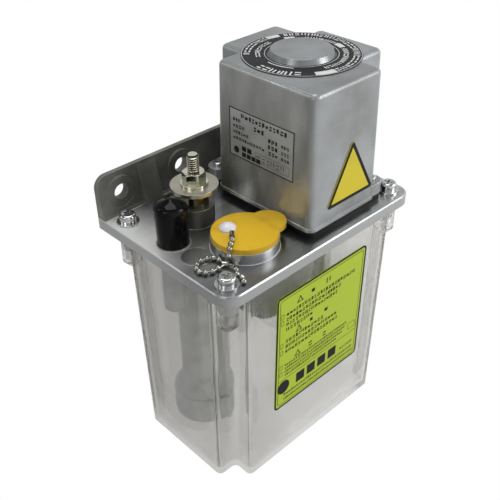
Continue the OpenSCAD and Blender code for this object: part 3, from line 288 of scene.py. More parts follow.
@dataclass(frozen=True)
class CastPlateFinish:
    """The bracket: streaked plate with a painted highlight patch at its left and painted shade over its
    middle, and a dark rough flange.

    Spans along X, Y and Z are in millimetres in the shared frame.
    """

    name: str = "bracket_cast"
    top_colour: Colour = (0.62, 0.625, 0.62)
    top_second: Colour = (0.4, 0.41, 0.415)
    side_colour: Colour = (0.36, 0.365, 0.365)
    flange_colour: Colour = (0.12, 0.12, 0.108)
    flange_light: Colour = (0.22, 0.22, 0.198)
    rub_colour: Colour = (0.75, 0.76, 0.75)
    # Painted shade: darker tones for the middle of the plate.
    shaded_colour: Colour = (0.32, 0.33, 0.34)
    shaded_second: Colour = (0.19, 0.2, 0.21)
    # Painted highlight: a brighter, less metallic patch at the plate's left, where it reflects the bright
    # room.
    glare_colour: Colour = (0.63, 0.64, 0.62)
    glare_x: Span = (-70.0, -42.0)
    glare_y: Span = (-26.0, 8.0)
    shaded_x: Span = (-8.0, 22.0)
    plate_z: Span = (143.35, 143.95)
    flange_z: Span = (144.05, 144.45)
    blotches: Pattern = Pattern(70.0, (0.35, 0.7), detail=6.0)
    streaks: Pattern = Pattern(42.0, (0.4, 0.68), stretch=(0.35, 2.2, 1.0))
    edge: float = 0.3
    rub: Span = (0.25, 0.3)
    metal: Span = (1.0, 0.45)
    rough: Span = (0.28, 0.5)
    grain: Span = (0.05, 650.0)

    def build(self) -> Material:
        """Makes the material.

        Returns:
            The node material. Pairs of numbers are for the plate and the flange.
        """
        brush = Brush(self.name)
        normal = brush.soft_edges(self.edge)
        streaks = brush.pattern(self.streaks)
        # Painted highlight: mask of the brighter patch at the plate's left.
        glare = brush.times(brush.along("X", self.glare_x, FALL), brush.along("Y", self.glare_y))
        # Painted shade: mask of the darker middle of the plate.
        middle = brush.times(brush.ramp(glare, to=FALL), brush.along("X", self.shaded_x, FALL))
        bright = brush.mix(streaks, self.top_colour, self.top_second)
        plate = brush.mix(middle, bright, brush.mix(streaks, self.shaded_colour, self.shaded_second))
        top = brush.mix(glare, plate, self.glare_colour)
        lower = brush.mix(brush.along("Z", self.plate_z), self.side_colour, top)
        flange = brush.mix(brush.pattern(self.blotches), self.flange_colour, self.flange_light)
        mask = brush.along("Z", self.flange_z)
        rub = brush.times(brush.worn(normal), brush.ramp(mask, to=self.rub))
        brush.use(
            Base_Color=brush.mix(rub, brush.mix(mask, lower, flange), self.rub_colour),
            Metallic=brush.times(brush.ramp(mask, to=self.metal), brush.ramp(glare, to=FALL)),
            Roughness=brush.ramp(mask, to=self.rough),
            Normal=brush.grain(*self.grain, normal),
        )
        return brush.material


@dataclass(frozen=True)
class CoverFinish:
    """Painted aluminium cover: streaked sides, the left face given lighter tones as painted light, faint
    stains towards the foot, rubbed edges and a darker top.

    Spans along X and Z are in millimetres in the shared frame.
    """

    name: str = "cover_cast"
    colour: Colour = (0.37, 0.387, 0.397)
    shade: Colour = (0.245, 0.25, 0.25)
    # Painted light: the left face's tones are lighter than the front's, as if more light falls there; its
    # streaks are real.
    lit_left_colour: Colour = (0.46, 0.466, 0.432)
    lit_left_dark: Colour = (0.23, 0.235, 0.212)
    top_colour: Colour = (0.27, 0.285, 0.295)
    top_shade: Colour = (0.19, 0.2, 0.205)
    stain: Colour = (0.14, 0.138, 0.09)
    rub_colour: Colour = (0.74, 0.76, 0.77)
    left_x: Span = (-6.8, -4.4)
    stain_z: Span = (150.0, 200.0)
    foot_z: Span = (149.5, 152.0)
    top_z: Span = (222.7, 223.3)
    disc_z: Span = (223.3, 223.7)
    clouds: Pattern = Pattern(34.0, (0.38, 0.68), 9.0)
    streaks: Pattern = Pattern(60.0, (0.36, 0.66), 8.0, (1.0, 1.0, 0.3))
    spots: Pattern = Pattern(55.0, (0.52, 0.7), 3.0, (1.0, 1.0, 0.4))
    edge: float = 0.6
    foot_rub: Span = (0.1, 1.0)
    disc_rub: Span = (1.0, 0.1)
    metal: float = 0.5
    rough: Span = (0.26, 0.4)
    sheen_span: Span = (0.2, 0.9)
    sheen: Span = (1.0, 0.45)
    grain: Span = (0.08, 500.0)

    def build(self) -> Material:
        """Makes the material.

        Returns:
            The node material, with less rub at the foot and on the disc and more sheen low on the left face.
        """
        brush = Brush(self.name)
        normal = brush.soft_edges(self.edge)
        clouds = brush.pattern(self.clouds)
        side = brush.along("X", self.left_x, FALL)
        low_left = brush.times(brush.along("Z", self.stain_z, FALL), side)
        front = brush.mix(clouds, self.colour, self.shade)
        # Painted light: the left face takes the lighter tones; the streaks are the real pattern.
        left = brush.mix(brush.pattern(self.streaks), self.lit_left_colour, self.lit_left_dark)
        spots = brush.times(brush.pattern(self.spots), low_left)
        walls = brush.mix(spots, brush.mix(side, front, left), self.stain)
        top = brush.mix(clouds, self.top_colour, self.top_shade)
        body = brush.mix(brush.along("Z", self.top_z), walls, top)
        rub = brush.times(brush.worn(normal), brush.along("Z", self.foot_z, self.foot_rub))
        rub = brush.times(rub, brush.along("Z", self.disc_z, self.disc_rub))
        sheen = brush.ramp(low_left, self.sheen_span, self.sheen)
        brush.use(
            Base_Color=brush.mix(rub, body, self.rub_colour),
            Metallic=self.metal,
            Roughness=brush.times(brush.ramp(clouds, to=self.rough), sheen),
            Normal=brush.grain(*self.grain, normal),
        )
        return brush.material


@dataclass(frozen=True)
class ClearFinish:
    """Clear moulded acrylic with painted shade on its edges and its left walls, and faint cloudy streaks.

    It lets light through to the pieces inside. Spans along X and Z are in millimetres in the shared frame.
    """

    name: str = "clear_acrylic"
    tint: Colour = (0.94, 0.937, 0.93)
    # Painted shade: the left walls are tinted darker than the rest.
    shaded_left_tint: Colour = (0.88, 0.876, 0.868)
    left_x: Span = (-70.0, -10.0)
    # Painted shade: dark grey along the edges, standing for the dark lines that bending light draws there.
    shaded_edge_tint: Colour = (0.4, 0.4, 0.4)
    shaded_edge_share: Span = (0.0, 0.6)
    edge: float = 0.45
    shade: Colour = (0.95, 0.95, 0.945)
    haze: Colour = (0.72, 0.715, 0.7)
    rough: float = 0.015
    ior: float = 1.22
    straight: float = 0.2
    streaks: Pattern = Pattern(26.0, (0.42, 0.72), 8.0, (1.0, 1.0, 0.3))
    streak_z: Span = (0.0, 100.0)
    streak_fade: Span = (1.0, 0.3)
    haze_share: Span = (0.012, 0.1)

    def build(self) -> Material:
        """Makes the material.

        Returns:
            The node material: glass, clear film and a cloudy share for seen rays, and plain transparency for
            shadow and diffuse rays.
        """
        brush = Brush(self.name)
        brush.tree.nodes.remove(brush.shader)
        # Painted shade: mask of the dark grey along the edges.
        edge = brush.ramp(brush.worn(brush.soft_edges(self.edge)), to=self.shaded_edge_share)
        # Painted shade: darker tint on the left walls.
        walls = brush.mix(brush.along("X", self.left_x), self.shaded_left_tint, self.tint)
        tint = brush.mix(edge, walls, self.shaded_edge_tint)
        glass = brush.feed(brush.add("BsdfGlass"), Color=tint, Roughness=self.rough, IOR=self.ior)
        cloud = brush.feed(brush.add("BsdfDiffuse"), Color=self.haze)
        film = brush.feed(brush.add("BsdfTransparent"), Color=tint)
        open_air = brush.feed(brush.add("BsdfTransparent"), Color=self.shade)
        streaks = brush.times(brush.pattern(self.streaks), brush.along("Z", self.streak_z, self.streak_fade))
        body = brush.layer(self.straight, glass, film)
        seen = brush.layer(brush.ramp(streaks, to=self.haze_share), body, cloud)
        brush.cover(brush.layer(brush.rays("Shadow", "Diffuse"), seen, open_air))
        return brush.material


ZINC = Finish("zinc_bright", (0.66, 0.67, 0.67), (0.42, 0.43, 0.42), rough=0.17, metal=1.0, scale=260,
              edge=0.2, rubbed=(0.8, 0.8, 0.78))
WARM_ZINC = Finish("zinc_warm", (0.8, 0.78, 0.67), (0.6, 0.63, 0.48), rough=0.12, metal=1.0, scale=160,
                   edge=0.25, rubbed=(0.9, 0.9, 0.82))
WASHER = Finish("washer_satin", (0.47, 0.45, 0.38), (0.4, 0.385, 0.31), rough=0.3, metal=0.85, scale=110,
                edge=0.3, rubbed=(0.75, 0.73, 0.62), grain=(0.05, 1500))
COLUMN = Finish("column_alu", (0.58, 0.59, 0.585), (0.43, 0.44, 0.44), rough=0.45, metal=0.5, scale=90)
NECK = Finish("neck_satin", (0.62, 0.625, 0.62), (0.46, 0.47, 0.47), rough=0.3, metal=1.0,
              stretch=(1.0, 1.0, 0.2), edge=0.3, rubbed=(0.8, 0.81, 0.81))
# Painted highlight: colour of the bright rims round the feet of the fittings.
FOOT_GLINT = Finish("foot_glint_bright", (0.82, 0.83, 0.82), (0.62, 0.63, 0.62), rough=0.35, metal=0.3, scale=200)
PLUG = Finish("plug_satin", (0.3, 0.3, 0.29), (0.38, 0.385, 0.38), rough=0.34, metal=0.95, scale=120,
              edge=0.5, rubbed=(0.85, 0.86, 0.85))
COLLAR = Finish("collar_turned", (0.19, 0.185, 0.16), (0.15, 0.145, 0.12), rough=0.36, metal=0.7, scale=120,
                stretch=(1.0, 1.0, 0.3), edge=0.5, rubbed=(0.5, 0.49, 0.45))
SLEEVE = Finish("sleeve_dark", (0.2, 0.18, 0.11), (0.12, 0.11, 0.06), rough=0.16, metal=0.95, scale=80,
                edge=0.3, rubbed=(0.6, 0.56, 0.42))
# Painted shade: the stud's core is near-black so the valleys between the thread ridges read dark.
STUD_VALLEY_SHADE = Finish("stud_valley_shade", (0.06, 0.055, 0.04), (0.04, 0.036, 0.026), rough=0.45, metal=0.6,
                   scale=200)
THREAD = Finish("stud_thread", (0.8, 0.78, 0.68), (0.7, 0.68, 0.56), rough=0.25, metal=1.0, scale=160)
STEEL = Finish("steel_turned", (0.5, 0.5, 0.48), (0.42, 0.42, 0.4), rough=0.3, metal=1.0, scale=140,
               edge=0.15)
BRASS = Finish("brass_turned", (0.62, 0.45, 0.18), (0.5, 0.36, 0.14), rough=0.3, metal=1.0, scale=120)
RUBBER = Finish("rubber_black", (0.007, 0.007, 0.008), (0.011, 0.011, 0.013), rough=0.55, scale=100,
                specular=0.15)
VINYL = Finish("vinyl_black", (0.0025, 0.0025, 0.003), (0.004, 0.004, 0.005), rough=0.04, specular=0.13)
CAP = Finish("cap_yellow", (0.69, 0.432, 0.009), (0.56, 0.31, 0.008), rough=0.36, scale=130,
             mottle=(0.55, 0.72), stretch=(1.0, 0.5, 1.0), edge=0.5, rubbed=(0.74, 0.49, 0.02),
             grain=(0.16, 240))
WHITE = Finish("plastic_white", (0.74, 0.74, 0.8), (0.66, 0.66, 0.72), rough=0.3, scale=120)
WHEEL = Finish("wheel_grey", (0.36, 0.365, 0.37), (0.27, 0.275, 0.28), scale=80)
HOUSING = Finish("housing_grey", (0.3, 0.29, 0.33), (0.26, 0.25, 0.28), rough=0.45, scale=80)
GASKET_TAN = Finish("gasket_tan", (0.5, 0.46, 0.2), (0.42, 0.38, 0.15), rough=0.6, scale=120)
LIME = Finish("label_lime", (0.46, 0.59, 0.028), (0.44, 0.57, 0.025), rough=0.4, scale=30, specular=0.2)
SILVER = Finish("data_plate_silver", (0.44, 0.45, 0.44), (0.36, 0.37, 0.36), rough=0.38, metal=0.5)
YELLOW = Finish("triangle_yellow", (0.72, 0.585, 0.02), (0.68, 0.55, 0.018), rough=0.4, specular=0.25)
PRINT_BLACK = Finish("print_black", (0.012, 0.013, 0.011), (0.018, 0.018, 0.016), rough=0.6, scale=90,
                     specular=0.12)
PRINT_LIGHT = Finish("print_light", (0.66, 0.67, 0.66), (0.55, 0.56, 0.55), rough=0.4, scale=150)
RING_DARK = Finish("ring_dark", (0.014, 0.015, 0.017), (0.022, 0.023, 0.025), rough=0.55, scale=80,
                   specular=0.15)
CHAIN = Finish("chain_nickel", (0.46, 0.45, 0.42), (0.24, 0.24, 0.22), rough=0.1, metal=1.0, scale=300)

AnyFinish = Union[Finish, CastPlateFinish, CoverFinish, ClearFinish]

NODES_BY_FINISH: Sequence[tuple[AnyFinish, Sequence[str]]] = (
    (RUBBER, ("tank_seal", "cover_gasket", "cord_grommet")),
    (ZINC, ("tank_flat_washers", "tank_spring_washers", "tank_screws", "cover_screws", "frame_screws")),
    (COLUMN, ("tank_inserts", "wheel_shaft", "gear_frame", "pump_column", "suction_strainer", "relief_body")),
    (STEEL, ("gear_motor", "worm_shaft", "lift_cam", "lift_lever", "lever_pin", "piston", "return_spring",
             "foot_ball", "outlet_ball", "relief_ball", "relief_spring")),
    (WARM_ZINC, ("stud_washer", "stud_nut")), (COLLAR, ("guide_collar", "outlet_fitting")),
    (WHITE, ("filler_strainer", "cap_pin")), (CHAIN, ("cap_chain", "bead_chain")),
    (CastPlateFinish(), ("mounting_bracket",)), (CoverFinish(), ("motor_cover",)),
    (ClearFinish(), ("reservoir_tank",)), (RING_DARK, ("ring_label",)), (SILVER, ("data_plate",)),
    (YELLOW, ("triangle_plate",)), (LIME, ("reservoir_label",)), (PLUG, ("blank_plug",)),
    (NECK, ("filler_neck",)), (CAP, ("filler_cap",)), (VINYL, ("outlet_cap",)), (WASHER, ("stop_washer",)),
    (SLEEVE, ("lift_sleeve",)), (STUD_VALLEY_SHADE, ("piston_rod",)), (WHEEL, ("worm_wheel",)),
    (HOUSING, ("worm_housing",)), (BRASS, ("foot_valve",)), (GASKET_TAN, ("outlet_gasket",)),
)


@cache
def material_of(finish: AnyFinish) -> Material:
    """The material of a finish, built on first use."""
    return finish.build()


def paint(obj: Piece, finish: AnyFinish) -> None:
    """Puts one finish in each material slot of an object.

    Args:
        obj: The object to paint.
        finish: The finish to use.
    """
    if not obj.material_slots:
        obj.data.materials.append(None)
    for slot in obj.material_slots:
        slot.material = material_of(finish)


def dress_nodes() -> None:
    """Gives each CAD node its finish."""
    for finish, names in NODES_BY_FINISH:
        for name in names:
            paint(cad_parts[name], finish)
        log.info("finish %s: %d nodes", finish.name, len(names))


def add_piece(name: str, bm: Shape, finish: Finish, body: Body, smooth: bool = False) -> Piece:
    """Turns a bmesh into a piece of the object.

    Args:
        name: Name of the piece.
        bm: The shape, in metres in the shared frame. It is freed.
        finish: Its finish.
        body: The body it rides on.
        smooth: True for smooth shading with sharp edges kept over 35 degrees.

    Returns:
        The new object.
    """
    bmesh.ops.recalc_face_normals(bm, faces=bm.faces)
    mesh = bpy.data.meshes.new(name)
    bm.to_mesh(mesh)
    bm.free()
    obj = bpy.data.objects.new(name, mesh)
    bpy.context.scene.collection.objects.link(obj)
    if smooth:
        mesh.shade_smooth()
        mesh.set_sharp_from_angle(angle=math.radians(35))
    paint(obj, finish)
    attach(obj, body.value)
    log.info("piece %s: %d faces", name, len(mesh.polygons))
    return obj


def add_cone(bm: Shape, at: Matrix, foot: float, tip: float, tall: float) -> None:
    """Adds a closed cone or disc round the middle of a frame.

    Args:
        bm: The mesh that grows.
        at: The frame, in metres.
        foot: Radius at its lower end, in millimetres.
        tip: Radius at its upper end, in millimetres.
        tall: Height, in millimetres.
    """
    bmesh.ops.create_cone(bm, cap_ends=True, segments=ROUND_STEPS, radius1=foot * MM, radius2=tip * MM,
                          depth=tall * MM, matrix=at)


def join_loops(bm: Shape, *loops: Sequence[bmesh.types.BMVert]) -> None:
    """Joins each loop of points to the next one with a band of faces.

    Args:
        bm: The mesh that grows.
        loops: The loops, each with the same number of points.
    """
    for first, second in zip(loops, loops[1:]):
        for i in range(len(first)):
            j = (i + 1) % len(first)
            bm.faces.new((first[i], first[j], second[j], second[i]))


def spin(bm: Shape, base: Vector, profile: Sequence[Span], closed: bool = True, steps: int = RING_STEPS,
         turns: int = 1, climb: float = 0.0) -> None:
    """Turns a profile round an upright axis.

    Args:
        bm: The mesh that grows.
        base: Foot of the axis, in metres.
        profile: Points by radius and height, in millimetres.
        closed: True when the last point joins the first.
        steps: Number of steps in all.
        turns: Number of turns.
        climb: Rise of each turn, in millimetres.
    """
    verts = [bm.verts.new(base + Vector((radius, 0, height)) * MM) for radius, height in profile]
    ends = verts[1:] + verts[:1] if closed else verts[1:]
    edges = [bm.edges.new(pair) for pair in zip(verts, ends)]
    bmesh.ops.spin(bm, geom=verts + edges, cent=base, axis=(0, 0, 1), dvec=(0, 0, climb * MM * turns / steps),
                   angle=math.tau * turns, steps=steps, use_merge=not climb)


@dataclass(frozen=True)
class Wall:
    """A side wall that leans back by a draft over its height, measured from the plate top in millimetres."""

    foot: float
    height: float
    draft: float

    def inset(self, level: float) -> float:
        """How far the wall has leant back at a level."""
        return self.draft * (level - self.foot) / self.height

    def frame(self, corner: Vector, right: Vector, lift: float = 0.0, drop: float = 0.0) -> Matrix:
        """A frame whose u runs right, v up the wall and w out of it.

        Args:
            corner: A corner of the label, in metres.
            right: Direction of u.
            lift: Thickness of the label, in millimetres.
            drop: How far the label's lower edge is below the corner, in millimetres.

        Returns:
            The frame at the label's lower left corner, on its face.
        """
        lean = math.atan(self.draft / self.height)
        back = Vector((0, 0, 1)).cross(right)
        up = Vector((0, 0, math.cos(lean))) + back * math.sin(lean)
        out = right.cross(up)
        place = corner + (out * lift - up * drop) * MM
        return Matrix((*zip(right, up, out, place), (0, 0, 0, 1)))


COVER_WALL = Wall(foot=3.7, height=75.5, draft=0.9)
TANK_WALL = Wall(foot=-6.5, height=137.5, draft=-2.2)


@dataclass
class Sheet:
    """Thin print on a face, whose u runs right, v up and w outward.

    All sizes are in millimetres, and those of marks are shares of their height or of the width of a bar.
    """

    at: Matrix
    rng: random.Random
    bm: Shape = field(default_factory=bmesh.new)
    mix: Sequence[Mark] = (Mark.BARS, Mark.BARS, Mark.POSTS, Mark.POSTS, Mark.BLOCK)
    room: float = 0.7
    widths: Span = (0.5, 0.85)
    gap: float = 0.32
    bar_levels: Span = (0.08, 0.62)
    bar_line: float = 1.2
    bar_shift: Span = (0.0, 0.2)
    post_line: float = 1.1
    post_shift: Span = (0.0, 0.3)
    block_levels: Span = (0.2, 0.75)
    least_radius: float = 0.05

    def bar(self, u: Span, v: Span, at: Optional[Matrix] = None) -> None:
        """Adds a flat bar.

        Args:
            u: Its left and right ends.
            v: Its lower and upper edges.
            at: Frame that takes the place of the face's own one.
        """
        size = Matrix.Diagonal(((u[1] - u[0]) * MM, (v[1] - v[0]) * MM, PRINT_RISE * MM, 1.0))
        middle = Matrix.Translation(Vector((sum(u) / 2, sum(v) / 2, PRINT_RISE / 2)) * MM)
        bmesh.ops.create_cube(self.bm, size=1.0, matrix=(self.at if at is None else at) @ middle @ size)

    def disc(self, u: float, v: float, radius: float) -> None:
        """Adds a flat disc."""
        middle = Matrix.Translation(Vector((u, v, PRINT_RISE / 2)) * MM)
        add_cone(self.bm, self.at @ middle, radius, radius, PRINT_RISE)

    def marks(self, ends: Span, v: float, height: float, weight: float = 0.24) -> None:
        """Adds a row of small bars, posts and blocks that stands for a line of print.

        Args:
            ends: Left and right end.
            v: Lower edge of the row.
            height: Height of the marks.
            weight: Width of a bar as a share of the height.
        """
        bar, post = self.bar_line * weight * height, self.post_line * weight * height
        u = ends[0]
        while u + self.room * height < ends[1]:
            wide = self.rng.uniform(*self.widths) * height
            kind = self.rng.choice(self.mix)
            if kind is Mark.BARS:
                for level in self.bar_levels:
                    low = v + level * height
                    self.bar((u + self.rng.uniform(*self.bar_shift) * wide, u + wide), (low, low + bar))
            elif kind is Mark.POSTS:
                for side in (u, u + wide - post):
                    low = v + self.rng.uniform(*self.post_shift) * height
                    self.bar((side, side + post), (low, v + height))
            else:
                low, high = self.block_levels
                self.bar((u, u + wide), (v + low * height, v + high * height))
            u += wide + self.gap * height

    def box(self, u: Span, v: Span, line: float) -> None:
        """Adds a box drawn as four lines.

        Args:
            u: Its left and right edges.
            v: Its lower and upper edges.
            line: Width of the lines.
        """
        for level in (v[0], v[1] - line):
            self.bar(u, (level, level + line))
        for side in (u[0], u[1] - line):
            self.bar((side, side + line), v)

    def border(self, width: float, height: float, inset: float, radius: float, line: float) -> None:
        """Adds a border with round corners.

        Args:
            width: Width of the label.
            height: Height of the label.
            inset: Distance of the border from the label's edge.
            radius: Outer corner radius of the border.
            line: Width of the border line.
        """
        loops = []
        for grow, level in ((0.0, 0.0), (0.0, PRINT_RISE), (line, PRINT_RISE), (line, 0.0)):
            bend = max(radius - grow, self.least_radius)
            low = inset + grow + bend
            right, top = width - low, height - low
            loop = []
            for u, v, start in ((right, top, 0), (low, top, 90), (low, low, 180), (right, low, 270)):
                for step in range(CORNER_STEPS + 1):
                    angle = math.radians(start + step * 90 / CORNER_STEPS)
                    point = Vector((u + bend * math.cos(angle), v + bend * math.sin(angle), level)) * MM
                    loop.append(self.bm.verts.new(self.at @ point))
            loops.append(loop)
        join_loops(self.bm, *loops, loops[0])

    def triangle(self, u: float, v: float, size: float, line: float) -> None:
        """Adds a small triangle of three bars, with nothing inside.

        Args:
            u: Middle of the base.
            v: Height of the base.
            size: Length of a side.
            line: Width of the bars.
        """
        low = size * BASE_SHARE
        centre = self.at @ Matrix.Translation(Vector((u, v + low, 0)) * MM)
        for turn in range(3):
            side = centre @ Matrix.Rotation(math.radians(120 * turn), 4, "Z")
            self.bar((-size / 2, size / 2), (-low, line - low), side)

    def piece(self, name: str, finish: Finish) -> Piece:
        """Turns the print into one piece on the pump."""
        return add_piece(name, self.bm, finish, Body.PUMP)


@dataclass
class ReservoirPrint:
    """Borders, plain marks and bars on the lime label, placed by how far down from its top they are.

    Borders have an inset, a trim of the corner and a line, the sign a middle, a drop, a size and a line, and
    rows a place, an end and a height.
    """

    left: float = 36.3
    width: float = 72.9
    height: float = 83.3
    corner: float = 3.0
    drop: float = 20.7
    rim: float = 2.5
    thick: float = 0.3
    seed: int = 11
    borders: Sequence[Triple] = ((0.05, 0.0, 1.25), (2.5, 1.2, 0.32))
    headings: Sequence[float] = (10.0, 30.6, 49.0)
    sign: tuple[float, float, float, float] = (17.8, 0.4, 4.9, 0.55)
    heading_marks: Sequence[Span] = ((26.8, 31.0), (39.0, 43.4))
    heading_drop: float = 0.2
    heading_height: float = 3.9
    heading_weight: float = 0.18
    rows_u: float = 7.6
    rows: Sequence[Triple] = (
        (15.2, 64.0, 2.6), (18.9, 54.0, 2.6), (22.4, 50.5, 2.6), (26.0, 30.0, 2.6),
        (34.6, 39.5, 2.6), (38.4, 51.0, 2.6), (42.2, 52.5, 2.6),
        (52.0, 62.0, 1.8), (54.6, 60.0, 1.8), (57.2, 58.0, 1.8), (59.8, 52.0, 1.8),
        (75.4, 68.0, 2.0), (78.8, 70.0, 2.0),
    )
    boxes: Sequence[float] = (15.6, 20.0, 36.4, 41.6, 52.8, 57.8)
    box_u: Span = (3.4, 5.6)
    box_height: float = 3.2
    box_line: float = 0.22
    wide_box: tuple[Span, Span] = ((62.5, 69.0), (58.4, 53.8))
    divider: Span = (61.8, 61.55)
    divider_end: float = 2.3
    disc: Triple = (7.0, 67.6, 4.9)
    name_blocks: Sequence[float] = (17.6, 26.8, 36.0, 45.4)
    name_width: float = 7.0
    name_rows: Span = (71.4, 64.2)
    last_marks: tuple[Span, float, float, float] = ((56.4, 69.0), 71.2, 2.4, 0.2)

    def build(self) -> Piece:
        """Makes the printed pattern.

        Returns:
            The print as one piece.
        """
        corner = spot(self.left, self.rim + TANK_WALL.inset(-self.drop), -self.drop)
        at = TANK_WALL.frame(corner, Vector((1, 0, 0)), self.thick, self.height)
        sheet = Sheet(at, random.Random(self.seed))
        top = self.height
        for inset, trim, line in self.borders:
            sheet.border(self.width, top, inset, self.corner - trim, line)
        u, drop, size, line = self.sign
        for down in self.headings:
            sheet.triangle(u, top - down - drop, size, line)
            for ends in self.heading_marks:
                sheet.marks(ends, top - down - self.heading_drop, self.heading_height, self.heading_weight)
        for down, end, tall in self.rows:
            sheet.marks((self.rows_u, end), top - down, tall)
        for down in self.boxes:
            sheet.box(self.box_u, (top - down, top - down + self.box_height), self.box_line)
        ends, (low, high) = self.wide_box
        sheet.box(ends, (top - low, top - high), self.box_line)
        low, high = self.divider
        sheet.bar((self.divider_end, self.width - self.divider_end), (top - low, top - high))
        u, down, radius = self.disc
        sheet.disc(u, top - down, radius)
        low, high = self.name_rows
        for u in self.name_blocks:
            sheet.bar((u, u + self.name_width), (top - low, top - high))
        ends, down, tall, weight = self.last_marks
        sheet.marks(ends, top - down, tall, weight)
        return sheet.piece("label_print", PRINT_BLACK)


@dataclass
class DataPlatePrint:
    """Border and plain bars on the silver data plate. Marks have ends, a place, a height and a weight."""

    left: float = 65.8
    front: float = 20.6
    width: float = 47.0
    height: float = 28.0
    bottom: float = 29.1
    thick: float = 0.5
    seed: int = 5
    edge: float = 0.05
    edge_line: float = 0.6
    titles: Sequence[tuple[Span, float, float, float]] = (
        ((9.0, 42.4), 4.8, 2.8, 0.26), ((18.6, 28.4), 9.0, 2.8, 0.3))
    row_u: float = 3.0
    row_ends: Sequence[float] = (10.5, 12.5, 15.0, 27.0)
    row_down: float = 7.6
    row_pitch: float = 3.5
    row_height: float = 2.1
    row_weight: float = 0.26
    right_rows: Sequence[tuple[Span, float, float]] = (((29.0, 37.0), 2.4, 0.3), ((38.3, 44.8), 2.0, 0.26))
    right_drop: float = 0.6
    disc: Triple = (5.4, 4.3, 2.0)
    high_blocks: Span = (9.6, 13.6)
    high_width: float = 3.2
    high_v: Span = (5.0, 7.8)
    low_blocks: Sequence[float] = (9.6, 13.2, 16.8, 20.4)
    low_width: float = 3.0
    low_v: Span = (1.6, 4.2)
    foot_marks: tuple[Span, float, float, float] = ((20.5, 43.0), 3.2, 3.6, 0.1)
    foot_box: tuple[Span, Span, float] = ((19.6, 44.0), (2.4, 7.6), 0.12)

    def build(self) -> Piece:
        """Makes the printed pattern.

        Returns:
            The print as one piece.
        """
        corner = spot(self.left + COVER_WALL.inset(self.bottom), self.front + self.width, self.bottom)
        sheet = Sheet(COVER_WALL.frame(corner, Vector((0, -1, 0)), self.thick), random.Random(self.seed))
        top = self.height
        sheet.box((self.edge, self.width - self.edge), (self.edge, top - self.edge), self.edge_line)
        for ends, down, tall, weight in self.titles:
            sheet.marks(ends, top - down, tall, weight)
        for row, end in enumerate(self.row_ends):
            low = top - self.row_down - row * self.row_pitch
            sheet.marks((self.row_u, end), low, self.row_height, self.row_weight)
            if row:
                for ends, tall, weight in self.right_rows:
                    sheet.marks(ends, low - self.right_drop, tall, weight)
        sheet.disc(*self.disc)
        for u in self.high_blocks:
            sheet.bar((u, u + self.high_width), self.high_v)
        for u in self.low_blocks:
            sheet.bar((u, u + self.low_width), self.low_v)
        sheet.marks(*self.foot_marks)
        sheet.box(*self.foot_box)
        return sheet.piece("data_print", PRINT_BLACK)


@dataclass
class Triangle:
    """Yellow triangle with round corners and a dark border. Its field stays plain."""

    left: float = 77.7
    front: float = 7.6
    width: float = 37.4
    height: float = 34.0
    bottom: float = 12.9
    thick: float = 0.45
    gap: float = 0.02
    corner: float = 1.2
    least_corner: float = 0.3
    corner_steps: int = 8
    line: float = 1.9

    def ring(self, inset: float) -> list[Span]:
        """Goes round the triangle inside its edge, with round corners.

        Args:
            inset: Distance inside the edge, in millimetres.

        Returns:
            The points passed, in millimetres.
        """
        tips = [Vector((0.0, 0.0)), Vector((self.width, 0.0)), Vector((self.width / 2, self.height))]
        points = []
        for i, tip in enumerate(tips):
            into = (tips[(i + 1) % 3] - tip).normalized()
            back = (tips[(i + 2) % 3] - tip).normalized()
            middle = (into + back).normalized()
            half = into.angle(back) / 2
            radius = max(self.corner - inset, self.least_corner)
            centre = tip + middle * max(self.corner, inset + self.least_corner) / math.sin(half)
            swing = math.pi / 2 - half
            aim = math.atan2(-middle.y, -middle.x)
            for step in range(self.corner_steps + 1):
                angle = aim - swing + 2 * swing * step / self.corner_steps
                points.append((centre.x + radius * math.cos(angle), centre.y + radius * math.sin(angle)))
        return points

    def build(self) -> Piece:
        """Makes the plate, which stands for its CAD node, and the border on it.

        Returns:
            The border as one piece.
        """
        corner = spot(self.left, self.front + COVER_WALL.inset(self.bottom), self.bottom)
        at = COVER_WALL.frame(corner, Vector((1, 0, 0)))
        outer, inner = self.ring(0.0), self.ring(self.line)

        def loops(bm: Shape, *levels: tuple[list[Span], float]) -> list[list[bmesh.types.BMVert]]:
            """Adds the points of each ring at its level over the wall."""
            return [[bm.verts.new(at @ (Vector((u, v, w)) * MM)) for u, v in ring] for ring, w in levels]

        bm = bmesh.new()
        low, high = loops(bm, (outer, self.gap), (outer, self.thick))
        bm.faces.new(low)
        bm.faces.new(high)
        join_loops(bm, low, high)
        plate = add_piece("triangle_field", bm, YELLOW, Body.PUMP)
        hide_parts("triangle_plate")
        bm = bmesh.new()
        top = self.thick + PRINT_RISE
        rows = loops(bm, (outer, self.thick), (outer, top), (inner, top), (inner, self.thick))
        join_loops(bm, *rows, rows[0])
        return add_piece("triangle_border", bm, PRINT_BLACK, Body.PUMP)


